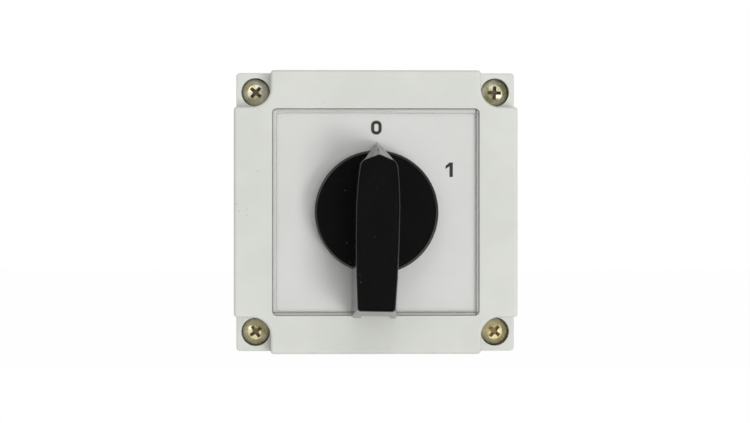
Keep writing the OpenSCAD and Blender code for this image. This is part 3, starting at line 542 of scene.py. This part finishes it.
def clear_plate():
    """Clear plastic with a faint haze, and a border with painted light and painted shade lines."""
    finish = Finish("clear_plate")
    across, upward = finish.along("X"), finish.along("Z")
    past_x = across.maths("ABSOLUTE") - (PLATE - PLATE_R)
    past_up = upward.maths("ABSOLUTE") - (PLATE - PLATE_R)
    x_out, up_out = past_x.maths("MAXIMUM", 0.0), past_up.maths("MAXIMUM", 0.0)
    corner = (x_out * x_out + up_out * up_out).maths("SQRT")
    depth = PLATE_R - corner - past_x.maths("MAXIMUM", past_up).maths("MINIMUM", 0.0)
    # Painted shade: a fine dark line along the plate's edge.
    edge_shade_line = 1 - depth.between(0.0, 0.25)
    downward = -1 * upward
    # Painted shade: a band and a line along the right side, and a line along the lower side.
    right = near_edge(across, 1.35, 1.05)
    right_shade_line = right - near_edge(across, 0.75, 0.55)
    low = near_edge(downward, 1.3, 1.0)
    low_shade_line = low - near_edge(downward, 0.7, 0.5)
    shade = (edge_shade_line * (EDGE_SHADE - 0.2 * right - 0.25 * low)
             + right * RIGHT_SHADE + right_shade_line * RIGHT_SHADE_LINE + low_shade_line * LOW_SHADE_LINE)
    haze = finish.noise(5, 4.0).between(0.5, 0.8) * HAZE
    # Painted light: the border is made paler, most near the top right.
    upper_right = near_edge(upward, 1.4, 1.2) * across.between(-8, 14)
    border_light = (1 - depth.between(1.15, 1.35)) * (BORDER_LIGHT + BORDER_LIGHT_TOP * upper_right)
    tone = finish.mix(shade.between(0.04, 0.2), grey(0.9), grey(0.13))
    body = finish.surface(Base_Color=tone, Roughness=0.3, Alpha=shade + border_light + haze)
    gloss = finish.add("BsdfGlossy", {}, {"Color": grey(0.95), "Roughness": 0.04})
    facing = finish.add("LayerWeight", {}, {"Blend": 0.5}, output="Facing")
    shine = GLOSS_AHEAD + GLOSS_GRAZING * facing.maths("POWER", 5.0)
    return finish.done(finish.add("MixShader", {}, {0: shine, 1: body, 2: gloss}))


# %% [markdown]
# ## Give every construction node its finish
# Each node already carries the name of its finish as its material. One material is made
# per finish, and it takes the place of the plain one on every node. What is modelled
# again below hides its node.

# %% Finish the nodes
makers = [box_plastic, gasket_foam, yellow_zinc, black_rubber, brass, contact_brass, legend_card,
          clear_plate, bright_zinc, spring_steel, deck_plastic, nylon, black_gloss]
finishes = {maker.__name__: maker() for maker in makers}
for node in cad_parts.values():
    for held in node.material_slots:
        held.material = finishes[held.material.name.split(".")[0]]
print("finished", len(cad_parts), "nodes with", len(finishes), "finishes")


# %% [markdown]
# ## Hand a piece over
# A finished piece is shaded smooth except at its sharp edges, and its normals are
# weighted by area, so that wide faces stay flat beside their rounded edges. Then it is
# hung on the body it rides on, and the nodes it stands for are hidden.


# %% Dress a piece
def dress(obj, body, slot, *nodes, finish=None, smooth=35):
    """Shade obj, give it its finish, and let it stand for its nodes."""
    only(obj)
    bpy.ops.object.shade_smooth_by_angle(angle=math.radians(smooth))
    apply(obj, "WEIGHTED_NORMAL", keep_sharp=True, weight=100)
    obj.data.materials.clear()
    obj.data.materials.append(finish or finishes[slot])
    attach(obj, body)
    if nodes:
        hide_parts(*nodes)
    print(obj.name, "stands for", nodes, "with", len(obj.data.polygons), "faces")


# %% [markdown]
# ## The box's outline
# Seen from the front the box is a raised cross with a sunk post in each corner. The
# cross starts as one block. A corner tool with one rounded edge, repeated at the four
# corners, cuts the notches, and the corner posts are a second block that stands back a
# little from the side faces. Base and cover share this outline, so one function makes it.
# It rounds the edges of both blocks before they are welded, because a bevel over the
# short edges where they meet would tear the surface.

# %% Outline sizes
SCREW_ROOM = 4.75
NOTCH = SCREW - SCREW_ROOM
ARC_R = 5.7
POST_STEP = 0.6
POST_HALF = HALF - POST_STEP
POST_R = 1.2
COVER_EDGE_R, BACK_EDGE_R = 1.15, 0.5
PART_R = 0.25


# %% Outline of base and cover
def crossed(name, half, notch, out, arc=0.0):
    """A block of a given half width whose corners are cut away past the notch."""
    body = block(name, (-half, half), (-half, half), out)
    past = (out[0] - 1, out[1] + 1)
    tool = block("corner_tool", (notch, half + 1), (notch, half + 1), past)
    if arc:
        pick(tool, "EDGE", lambda a, b: all(near(v, notch) for v in (a.x, b.x, a.up, b.up)))
        bevel(arc, 14)
    return carve(body, to_corners(tool))


def on_step(p):
    """True where the cross ends beside a corner notch."""
    inner, outer = sorted((abs(p.x), abs(p.up)))
    return near(outer, HALF) and near(inner, NOTCH)


def box_body(name, out, post_top, end, end_r, arc):
    """The cross and the posts of base or cover, rounded and ready to be welded.

    out is the depth that they span, post_top is where the posts end, and end is the
    free end of the cross, whose edges get the radius end_r.
    """
    body = crossed(name, HALF, NOTCH, out, arc)
    pick(body, "EDGE", lambda a, b: (along_out(a, b) and on_step(a)) or level_at(end)(a, b))
    bevel(end_r, 5)
    posts = block("posts", (-POST_HALF, POST_HALF), (-POST_HALF, POST_HALF), (out[0], post_top))
    pick(posts, "EDGE", along_out)
    bevel(POST_R, 5)
    for piece in (body, posts):
        pick(piece, "EDGE", level_at(PARTING))
        bevel(PART_R, 2)
    return body, posts


# %% [markdown]
# ## The cover
# The real cover is one moulding: a front wall with a sunk seat for the plate, four deep
# seats for the screws, and a hollow behind. It could be pushed and pulled out of one
# block, but a moulder thinks in cavities, and so does this cell: each hollow is its own
# tool, rounded first and then cut away, which keeps every radius true.

# %% Cover body and corner posts
PAD_DROP, PAD_R = 6.8, 0.45
PAD = FRONT - PAD_DROP
cover, cover_posts = box_body(
    "cover_shell", (PARTING, FRONT), PAD, FRONT, COVER_EDGE_R, ARC_R)
pick(cover_posts, "EDGE", level_at(PAD))
bevel(PAD_R, 3)
carve(cover, cover_posts, "UNION")

# %% Cover cavity
WALL, FRONT_WALL, CORNER = 3.0, 2.2, 13.2
cavity_half, cavity_notch = HALF - WALL, HALF - CORNER
sheet_low, sheet_high = node_box("legend_sheet")
SEAT = sheet_low.out
carve(cover, crossed("cavity", cavity_half, cavity_notch, (PARTING - 1, SEAT - FRONT_WALL)))

# %% Seat of the front plate
SEAT_GAP, SEAT_EDGE_R = 0.1, 0.12
seat_half = PLATE + SEAT_GAP
seat = block("seat", (-seat_half, seat_half), (-seat_half, seat_half), (SEAT, FRONT + 1))
pick(seat, "EDGE", along_out)
bevel(PLATE_R + SEAT_GAP, 6)
carve(cover, seat)


def seat_edge(p):
    """True for a point of the cover's front that borders the seat."""
    return near(p.out, FRONT) and max(abs(p.x), abs(p.up)) < seat_half + 0.01


pick(cover, "EDGE", lambda a, b: seat_edge(a) and seat_edge(b))
bevel(SEAT_EDGE_R, 2)

# %% Holes in the cover
BORE_R, SHANK_R, SEAL_R, FIXING = 4.45, 2.25, 8.0, 18.0
SCREW_SEAT = node_box("cover_washers")[0].out
for radius, out, middle, sides in ((BORE_R, (SCREW_SEAT, PAD + 0.5), SCREW, 64),
                                   (SHANK_R, (PARTING - 1, SCREW_SEAT + 1), SCREW, 32),
                                   (SHANK_R, (SEAT - 4, SEAT + 1), FIXING, 32)):
    carve(cover, to_corners(rod("bore", radius, out, middle, middle, sides)))
carve(cover, rod("seal_bore", SEAL_R, (SEAT - 4, SEAT + 1)))
dress(cover, "enclosure", "box_plastic", "cover")

# %% [markdown]
# ## The base
# The base has the same outline and a flat back with four wall-screw holes. Its sides
# carry round knockouts: thin rings where the wall is weak, so that a fitter can strike
# out the disc for a cable gland. A ring tool is a rod with a smaller rod cut from it,
# and one mirrored tool marks two opposite sides at once.

# %% Base body
FLOOR = 3.0
base, base_posts = box_body("base_shell", (0, PARTING), PARTING, 0, BACK_EDGE_R, 0.0)
carve(base, base_posts, "UNION")
carve(base, crossed("cavity", cavity_half, cavity_notch, (FLOOR, PARTING + 1)))

# %% Gasket groove in the base's rim
GROOVE_IN, GROOVE_OUT, GROOVE_DEEP = 0.75, 2.15, 1.2
groove = crossed("groove", cavity_half + GROOVE_OUT, cavity_notch,
                 (PARTING - GROOVE_DEEP, PARTING + 1))
carve(groove, crossed("groove_core", cavity_half + GROOVE_IN, cavity_notch + 0.2,
                      (PARTING - 3, PARTING + 3)))
carve(base, groove)

# %% Holes and bosses of the base
WALL_X, WALL_UP = HALF - 19, HALF - 9
BOSS_R, WALL_HOLE_R, INSERT_R = 5.0, 2.4, 3.25
BOSS_TOP, INSERT_DEEP = 5.0, 9.0
boss = rod("boss", BOSS_R, (FLOOR - 0.5, BOSS_TOP), WALL_X, WALL_UP, 48)
carve(base, to_corners(boss), "UNION")
wall_hole = rod("wall_hole", WALL_HOLE_R, (-1, BOSS_TOP + 2), WALL_X, WALL_UP, 48)
carve(base, to_corners(wall_hole))
insert_bore = rod("insert_bore", INSERT_R, (PARTING - INSERT_DEEP, PARTING + 1), SCREW, SCREW, 48)
carve(base, to_corners(insert_bore))

# %% Knockout rings
KNOCK, KNOCK_WIDE, KNOCK_DEEP = 19.0, 0.8, 1.4
SMALL_R, LARGE_R = 10.2, 12.7
MIRRORED = {"top": (False, False, True), "right": (True, False, False)}


def ring_tool(radius, side):
    """A ring of square section that stands astride the top or the right face."""
    if side == "top":
        tilt, x, up = (0, 0, 0), 0, HALF
    else:
        tilt, x, up = (0, math.pi / 2, 0), HALF, 0
    ring = rod("ring", radius, (KNOCK - KNOCK_DEEP, KNOCK + KNOCK_DEEP), x, up, 72, tilt)
    core = rod("ring_core", radius - KNOCK_WIDE, (KNOCK - 3, KNOCK + 3), x, up, 72, tilt)
    return carve(ring, core)


for radius, side in ((SMALL_R, "top"), (LARGE_R, "top"), (SMALL_R, "right")):
    carve(base, apply(ring_tool(radius, side), "MIRROR", use_axis=MIRRORED[side],
                      use_mirror_merge=False))
dress(base, "enclosure", "box_plastic", "base_box")

# %% [markdown]
# ## The front plate and its card
# The clear plate drops into its seat with a hair's gap all round. Its front has a
# shallow bevelled border, and its back is hollowed by a step that holds the card. Both
# come from the same two moves: inset a face, then slide it.

# %% Clear plate
BORDER, BORDER_DROP, CARD_STEP = 1.2, 0.25, 0.49
HUB_HOLE_R = 9.0


def plate_rim(p):
    """True on the outer edge of the plate's front, its round corners too."""
    side = max(abs(p.x), abs(p.up))
    corner = math.hypot(abs(p.x) - PLATE + PLATE_R, abs(p.up) - PLATE + PLATE_R)
    return near(p.out, FRONT) and side > PLATE - PLATE_R and (
        side > PLATE - 0.9 or corner > PLATE_R - 0.3)


pane = block("window_pane", (-PLATE, PLATE), (-PLATE, PLATE), (SEAT + 0.06, FRONT))
pick(pane, "EDGE", along_out)
bevel(PLATE_R, 6)
pick(pane, "FACE", lambda c, n: n.out > 0.9)
bpy.ops.mesh.inset(thickness=BORDER * MM)
pick(pane, "VERT", plate_rim)
bpy.ops.transform.translate(value=place(0, 0, -BORDER_DROP))
pick(pane, "FACE", lambda c, n: n.out < -0.9)
bpy.ops.mesh.inset(thickness=BORDER * MM)
bpy.ops.transform.translate(value=place(0, 0, CARD_STEP))
carve(pane, rod("pane_hole", HUB_HOLE_R, (SEAT - 1, FRONT + 1)))
dress(pane, "enclosure", "clear_plate", "window_plate", smooth=8)

# %% Card
CARD, CARD_R = sheet_high.x, 0.95
card = block("card", (-CARD, CARD), (-CARD, CARD), (sheet_low.out, sheet_high.out))
pick(card, "EDGE", along_out)
bevel(CARD_R, 4)
carve(card, rod("card_hole", HUB_HOLE_R, (SEAT - 1, FRONT)))
dress(card, "enclosure", "legend_card", "legend_sheet")

# %% [markdown]
# ## The numerals
# The card is printed with a 0 above the knob and a 1 sixty degrees further on. Print
# has no thickness to speak of, so each numeral is a flat face that lies just above the
# card. The 0 is a tall plane whose corners are rounded until it is an oval, and whose
# middle is inset and deleted. The 1 is a narrow plane, cut across near its top, whose
# upper left edge is then extruded into the short flag.

# %% Print on the card
INK = sheet_high.out + 0.005


def printed(name, x, up, wide, tall):
    """A flat plane of print with its middle at a place on the card."""
    nothing()
    middle = place(x, up, INK)
    bpy.ops.mesh.primitive_plane_add(size=MM, location=middle, rotation=(math.pi / 2, 0, 0))
    plane = named(name)
    pick(plane, "FACE", anything)
    bpy.ops.transform.resize(value=(wide, 1, tall), center_override=middle)
    return plane


# %% Numeral 0
ZERO_R, STROKE = 1.55, 1.0
zero = printed("numeral_0", 0.15, 26.2, 3.3, 4.35)
pick(zero, "VERT", anything)
bpy.ops.mesh.bevel(offset=ZERO_R * MM, segments=10, profile=0.5, affect="VERTICES")
pick(zero, "FACE", anything)
bpy.ops.mesh.inset(thickness=STROKE * MM)
bpy.ops.mesh.delete(type="FACE")
dress(zero, "enclosure", "legend_card", finish=print_black())

# %% Numeral 1
TURN, ONE_FAR = math.radians(60), 26.3
FLAG_WIDE, FLAG_DROP, FLAG_TIP = 1.2, 0.8, 0.3
one_x, one_up = ONE_FAR * math.sin(TURN), ONE_FAR * math.cos(TURN)
one = printed("numeral_1", one_x + 0.6, one_up, 1.06, 4.5)
bpy.ops.mesh.bisect(plane_co=place(one_x, one_up + 1.05, INK), plane_no=(0, 0, 1))
pick(one, "EDGE", lambda a, b: max(a.x, b.x) < one_x + 0.2 and min(a.up, b.up) > one_up + 1.0)
bpy.ops.mesh.extrude_region_move(
    TRANSFORM_OT_translate={"value": place(-FLAG_WIDE, -FLAG_DROP, 0)})
pick(one, "VERT", lambda p: p.x < one_x - 0.9 and p.up > one_up + 1.2)
bpy.ops.transform.translate(value=place(0, -FLAG_TIP, 0))
dress(one, "enclosure", "legend_card", finish=zero.data.materials[0])

# %% [markdown]
# ## The knob
# A round disc carries a lever with a pointed bow and a long square tail. The lever's
# walls lean inwards as they rise. It starts as a block. Bisect cuts it into stations
# along its length, and each station is then scaled across to the width of a smooth
# curve, once at the foot and once at the top. The bow is the end face, extruded and
# merged to a point. A thin cap lies in a seat in the lever's top and hides its screw.

# %% Knob sizes
knob_low, knob_high = node_box("handle")
DISC_R = knob_high.x
TOP = knob_high.out
FOOT = FRONT + 1.4
DISC_LOW, DISC_TOP = FRONT + 0.5, FRONT + 7.5
SHOULDER, TAIL, TOP_TAIL = 15.3, 32.8, 29.7
TIP = {"foot": 21.7, "top": 17.4}
BLANK_W = 14.7
WIDEST = {"foot": 14.7, "top": 13.15}
BOW_W = {"foot": 12.3, "top": 10.9}
STERN_W = {"foot": 14.1, "top": 11.3}
STATIONS = 6
print("knob disc", round(2 * DISC_R, 1), "mm wide, lever top", round(TOP, 1), "mm out")

# %% Lever block, cut into stations
lever = block("lever", (-BLANK_W / 2, BLANK_W / 2), (-TAIL, SHOULDER), (FOOT, TOP))
stations = [SHOULDER * i / STATIONS for i in range(STATIONS)]
stations += [-TAIL * i / STATIONS for i in range(1, STATIONS)]
for up in stations:
    pick(lever, "FACE", anything)
    bpy.ops.mesh.bisect(plane_co=place(0, up, 0), plane_no=(0, 0, 1))
pick(lever, "FACE", lambda c, n: n.up > 0.9)
bpy.ops.mesh.extrude_region_move(
    TRANSFORM_OT_translate={"value": (0, 0, (TIP["foot"] - SHOULDER) * MM)})

# %% Shape the stations and the point
levels = {"foot": FOOT, "top": TOP}
for level, out in levels.items():
    for up in stations + [SHOULDER, -TAIL]:
        end, width = (SHOULDER, BOW_W[level]) if up > 0 else (-TAIL, STERN_W[level])
        across = WIDEST[level] - (WIDEST[level] - width) * (up / end) ** 2
        pick(lever, "VERT", lambda p: abs(p.up - up) < 0.01 and abs(p.out - out) < 0.01)
        bpy.ops.transform.resize(value=(across / BLANK_W, 1, 1), center_override=place(0, up, out))
    pick(lever, "VERT", lambda p: p.up > SHOULDER + 1 and abs(p.out - out) < 0.01)
    bpy.ops.mesh.merge(type="CENTER")
pick(lever, "VERT", lambda p: p.up > SHOULDER + 1 and p.out > TOP - 0.01)
bpy.ops.transform.translate(value=(0, 0, (TIP["top"] - TIP["foot"]) * MM))
pick(lever, "VERT", lambda p: p.up < -0.1 and p.out > TOP - 0.01)
bpy.ops.transform.resize(value=(1, 1, TOP_TAIL / TAIL), center_override=place(0, 0, TOP))

# %% Round the lever's edges
STERN_R, BOW_R, SHOULDER_R, TOP_EDGE_R = 0.95, 0.5, 1.2, 0.26


def rises(a, b):
    """True for an edge that runs from the lever's foot to its top."""
    return abs(a.out - b.out) > 5


def beside(a, b):
    """True for an edge on one of the lever's two flanks."""
    return min(abs(a.x), abs(b.x)) > 4


pick(lever, "FACE", anything)
bpy.ops.mesh.dissolve_limited(angle_limit=math.radians(0.4))
pick(lever, "EDGE", lambda a, b: rises(a, b) and beside(a, b)
     and max(a.up, b.up) < -TOP_TAIL + 0.3)
bevel(STERN_R, 5)
pick(lever, "EDGE", lambda a, b: rises(a, b) and max(abs(a.x), abs(b.x)) < 0.1)
bevel(BOW_R, 4)
pick(lever, "EDGE", lambda a, b: rises(a, b) and beside(a, b)
     and min(a.up, b.up) > SHOULDER - 0.3)
bevel(SHOULDER_R, 4)
pick(lever, "EDGE", level_at(TOP))
bevel(TOP_EDGE_R, 3)

# %% Cap and its seat in the lever's top
CAP_THICK, CAP_RIM, CAP_GAP, CAP_PLAY = 1.2, 0.25, 0.05, 0.02
CAP_SEAT = TOP - CAP_THICK
pick(lever, "FACE", lambda c, n: n.out > 0.99 and near(c.out, TOP))
bpy.ops.mesh.inset(thickness=CAP_RIM * MM)
bpy.ops.mesh.duplicate()
bpy.ops.mesh.separate(type="SELECTED")
cap = next(o for o in bpy.context.selected_objects if o != bpy.context.object)
cap.name = cap.data.name = "knob_cap"
pick(lever, "FACE", lambda c, n: n.out > 0.99 and near(c.out, TOP) and abs(c.x) < 1)
bpy.ops.mesh.extrude_region_move(TRANSFORM_OT_translate={"value": place(0, 0, -CAP_THICK)})
pick(cap, "FACE", anything)
bpy.ops.mesh.inset(thickness=CAP_GAP * MM)
bpy.ops.mesh.select_all(action="INVERT")
bpy.ops.mesh.delete(type="FACE")
pick(cap, "FACE", anything)
bpy.ops.mesh.extrude_region_move(
    TRANSFORM_OT_translate={"value": place(0, 0, CAP_PLAY - CAP_THICK)})
pick(cap, "FACE", anything)
bpy.ops.mesh.normals_make_consistent(inside=False)

# %% Disc and hub
DISC_TOP_R, DISC_LOW_R, HUB_R = 0.8, 0.3, 6.5
disc = rod("knob", DISC_R, (DISC_LOW, DISC_TOP), sides=128)
pick(disc, "EDGE", level_at(DISC_TOP))
bevel(DISC_TOP_R, 4)
pick(disc, "EDGE", level_at(DISC_LOW))
bevel(DISC_LOW_R, 2)
carve(disc, rod("hub", HUB_R, (knob_low.out, DISC_LOW + 1), sides=64), "UNION")

# %% [markdown]
# ## The lever on its disc
# A real knob never points quite straight up: there is play between its socket and the
# shaft. So the lever and its cap are turned by one degree before they are welded to the
# disc. Then the hollow under the tail, the shaft's socket and the way for the screw are
# cut out from behind, where only a look from the side or from below finds them.

# %% Set the lever on the disc, and hollow it
OFF_UPRIGHT = math.radians(1.0)
HOLLOW_HALF, HOLLOW_TALL, PAST_DISC = 4.7, 8.5, 1.5
SOCKET_HALF, SOCKET_TOP = 3.05, 76.05
WAY_LOW, WAY_TOP = SOCKET_TOP - 1.05, SOCKET_TOP + 2.95
ROOM_LOW, ROOM_R = SOCKET_TOP + 2, 4.6
for piece in (lever, cap):
    pick(piece, "FACE", anything)
    bpy.ops.transform.rotate(value=-OFF_UPRIGHT, orient_axis="Y", center_override=(0, 0, 0))
    nothing()
carve(disc, lever, "UNION")
carve(disc, block("tail_hollow", (-HOLLOW_HALF, HOLLOW_HALF), (-TAIL - 1, -DISC_R - PAST_DISC),
                  (FOOT - 1, FOOT + HOLLOW_TALL)))
carve(disc, block("socket", (-SOCKET_HALF, SOCKET_HALF), (-SOCKET_HALF, SOCKET_HALF),
                  (knob_low.out - 1, SOCKET_TOP)))
carve(disc, rod("screw_way", SHANK_R, (WAY_LOW, WAY_TOP), sides=32))
carve(disc, rod("screw_room", ROOM_R, (ROOM_LOW, CAP_SEAT + 0.01), sides=48))
dress(disc, "rotor", "black_gloss", "handle")
dress(cap, "rotor", "black_gloss", "lever_cap")

# %% [markdown]
# ## The cover screws
# A pan head is a short cylinder with a domed top and a rounded rim. Anything turned on a
# lathe is quickest as a half profile: one point is extruded from the top of the dome out
# to the rim and down to the tip, and spin turns that line once round. The cross recess
# tapers as it goes down, so its tool is a bar that narrows, crossed with its own copy.
# One screw is modelled and then copied, each copy turned by its own angle, because
# nobody lines up four screws.

# %% Screw sizes
HEAD_LOW = node_box("cover_washers")[1].out
TIP_LOW = node_box("cover_screws")[0].out
DOME_R, RIM_R, RIM_TALL = 3.35, 4.3, 1.25
SCREW_R, TIP_TAPER, UNDER_R = 2.0, 0.4, 0.2
DOME_H = BALL - math.sqrt(BALL ** 2 - DOME_R ** 2)
LEAN = math.asin(DOME_R / BALL)
STEPS = 8

# %% Half profile of the screw, from the top of the dome to the tip
profile = []
for i in range(STEPS + 1):
    turn = LEAN * i / STEPS
    profile.append((BALL * math.sin(turn), HEAD_TOP - BALL + BALL * math.cos(turn)))
for i in range(1, STEPS + 1):
    turn = math.pi / 2 * i / STEPS
    profile.append((DOME_R + (RIM_R - DOME_R) * math.sin(turn),
                    HEAD_TOP - DOME_H - RIM_TALL * (1 - math.cos(turn))))
profile += [(RIM_R, HEAD_LOW + UNDER_R), (RIM_R - UNDER_R, HEAD_LOW), (SCREW_R, HEAD_LOW),
            (SCREW_R, TIP_LOW + TIP_TAPER), (SCREW_R - TIP_TAPER, TIP_LOW), (0.0, TIP_LOW)]
print("screw profile of", len(profile), "points, dome", round(DOME_H, 2), "mm high")

# %% Turn the screw
nothing()
bpy.ops.mesh.primitive_plane_add(size=MM, location=place(0, 0, HEAD_TOP))
screw = named("screw")
pick(screw, "VERT", anything)
bpy.ops.mesh.merge(type="CENTER")
for (r_from, out_from), (r_to, out_to) in zip(profile, profile[1:]):
    bpy.ops.mesh.extrude_region_move(
        TRANSFORM_OT_translate={"value": place(r_to - r_from, 0, out_to - out_from)})
pick(screw, "EDGE", anything)
bpy.ops.mesh.spin(steps=64, angle=math.tau, center=(0, 0, 0), axis=(0, 1, 0))
pick(screw, "VERT", anything)
bpy.ops.mesh.remove_doubles(threshold=0.002 * MM)
bpy.ops.mesh.normals_make_consistent(inside=False)

# %% Cross recess
ARM_HALF, BLADE_HALF, CROSS_DEEP, CORE_R = 2.45, 0.56, 2.2, 0.9
cross_floor = HEAD_TOP - CROSS_DEEP


def twin(obj, name):
    """A copy of obj with its own mesh."""
    only(obj)
    copy = obj.copy()
    copy.data = obj.data.copy()
    copy.name = copy.data.name = name
    bpy.context.scene.collection.objects.link(copy)
    return copy


recess = block("recess", (-ARM_HALF, ARM_HALF), (-BLADE_HALF, BLADE_HALF),
               (cross_floor, HEAD_TOP + 0.3))
pick(recess, "FACE", lambda c, n: n.out < -0.9)
bpy.ops.transform.resize(value=(0.4, 1, 0.75), center_override=place(0, 0, cross_floor))
across_recess = twin(recess, "across_recess")
pick(across_recess, "FACE", anything)
bpy.ops.transform.rotate(value=math.pi / 2, orient_axis="Y", center_override=(0, 0, 0))
carve(recess, across_recess, "UNION")
carve(recess, rod("core", CORE_R, (cross_floor - 0.1, HEAD_TOP + 1), sides=8), "UNION")
carve(screw, recess)

# %% Four screws
SCREW_TURNS = {(-1, 1): 42, (1, 1): 3, (-1, -1): 55, (1, -1): 40}
for number, ((side, level), turn) in enumerate(SCREW_TURNS.items(), 1):
    copy = twin(screw, f"cover_screw_{number}")
    only(copy)
    copy.rotation_euler = (0, math.radians(turn), 0)
    copy.location = place(side * SCREW, level * SCREW, 0)
    bpy.ops.object.transform_apply(location=True, rotation=True, scale=True)
    dress(copy, "enclosure", "yellow_zinc", "cover_screws")
bpy.data.objects.remove(screw)

# %% [markdown]
# ## Floor, light and background
# The switch stands on a plain pale floor in soft studio light. The key is a broad lamp
# at the lower right, so the soft shadow of the knob falls up and to the left. A small
# lamp in front and a smaller one above open it up, and the world adds an even glow,
# stronger from behind the switch, where no lamp reaches.
#
# Gloss is lit apart. A polished knob would mirror the lamps as hard squares, so they are
# hidden from it, and it sees a room instead: pale in front but dark straight ahead,
# dimmer at the sides, and with two soft patches for the highlights on edges and screws.
# The camera, and the clear plate, see plain white behind the switch. The floor takes the
# switch's shadow, and casts none itself, so that it dims nothing that stands on it.

# %% Kinds of ray
def rays(finish, *kinds):
    """1 for rays of the named kinds, 0 for all others."""
    return sum(finish.add("LightPath", output=f"Is {kind} Ray") for kind in kinds)


# %% Floor
FLOOR_GAP, FLOOR_SIDE, FLOOR_BACK = 0.0002, 1.0, 0.38
FLOOR_WHITE, FLOOR_SEEN = 0.05, 0.93
nothing()
bpy.ops.mesh.primitive_plane_add(
    size=FLOOR_SIDE, location=(0, FLOOR_BACK, construction_box[0].z - FLOOR_GAP))
floor = bpy.context.object
floor.name = "floor"
floor.visible_shadow = False
paint = Finish("pale_floor")
matt = paint.add("BsdfDiffuse", {}, {"Color": grey(0.85)})
white = paint.add("Emission", {}, {"Color": grey(1.0), "Strength": 1.0})
seen = FLOOR_WHITE + rays(paint, "Camera", "Glossy", "Transmission") * FLOOR_SEEN
floor.data.materials.append(
    paint.done(paint.add("MixShader", {}, {0: seen, 1: matt, 2: white})))

# %% Directions in the world
studio = Finish("studio", world=True)
ahead = studio.add("SeparateXYZ", {}, {0: studio.spot}, output="Y") * -1.0
behind = ahead * -1.0


def cosine(degrees):
    return math.cos(math.radians(degrees))


def toward_front(inner, outer):
    """1 within inner degrees of straight ahead of the switch, 0 past outer degrees."""
    return ahead.between(cosine(outer), cosine(inner))


def patch(toward, inner, outer):
    """1 within inner degrees of a direction, 0 past outer degrees."""
    match = studio.add("VectorMath", {"operation": "DOT_PRODUCT"},
                       {0: studio.spot, 1: Vector(toward).normalized()}, output="Value")
    return match.between(cosine(outer), cosine(inner))


# %% World
KEY, UPPER_LEFT = (0.45, -1.0, -0.30), (-0.6, -1.0, 0.45)
GLOW, GLOW_BEHIND = 0.45, 0.5
SIDES, IN_FRONT, DARK_AHEAD, AT_BACK = 0.42, 0.5, 0.92, 0.4
LEFT_PATCH, KEY_PATCH = 1.8, 1.7


def background(strength):
    return studio.add("Background", {}, {"Color": grey(1.0), "Strength": strength})


glow = background(GLOW + GLOW_BEHIND * behind.between(0.0, 0.4))
room = background(SIDES + IN_FRONT * toward_front(54, 74) - DARK_AHEAD * toward_front(10, 22)
                  + AT_BACK * behind.between(-0.1, 0.3)
                  + LEFT_PATCH * patch(UPPER_LEFT, 5, 16) + KEY_PATCH * patch(KEY, 5, 20))
lit = studio.add("MixShader", {}, {0: rays(studio, "Glossy"), 1: glow, 2: room})
all_seen = studio.add("MixShader", {}, {0: rays(studio, "Camera", "Transmission"), 1: lit,
                                        2: background(1.0)})
bpy.context.scene.world = studio.done(all_seen)


# %% Lamps
def lamp(name, toward, distance, size, watts):
    """A square soft lamp, in metres and watts, that looks at the middle of the front."""
    light = bpy.data.lights.new(name, "AREA")
    light.size, light.energy = size, watts
    obj = bpy.data.objects.new(name, light)
    bpy.context.scene.collection.objects.link(obj)
    way = Vector(toward).normalized()
    obj.location = place(0, 0, FRONT) + way * distance
    obj.rotation_euler = (-way).to_track_quat("-Z", "Y").to_euler()
    obj.visible_glossy = False
    print("lamp", name, watts, "W at", distance, "m")


lamp("key", KEY, distance=2.2, size=0.75, watts=18.0)
lamp("front", (0.08, -1.0, -0.02), distance=1.5, size=0.36, watts=3.7)
lamp("top", (0.0, -1.0, 0.9), distance=0.3, size=0.15, watts=0.11)

# %% [markdown]
# ## Camera
# A long lens stands a little to the left of the switch and level with its middle, so
# the faces of the box keep their true shape and the knob leans slightly to the right.

# %% Camera
LENS, EYE_X, EYE_UP, EYE_AWAY = 108.6, -19.0, 1.9, 700
TILT_DOWN, TURN_RIGHT = math.radians(0.14), math.radians(1.53)
camera_data = bpy.data.cameras.new("camera")
camera = bpy.data.objects.new("camera", camera_data)
bpy.context.scene.collection.objects.link(camera)
camera_data.lens = LENS
camera.location = place(EYE_X, EYE_UP, FRONT + EYE_AWAY)
camera.rotation_euler = (math.pi / 2 - TILT_DOWN, 0, -TURN_RIGHT)
bpy.context.scene.camera = camera
bpy.context.scene.view_settings.view_transform = "Standard"
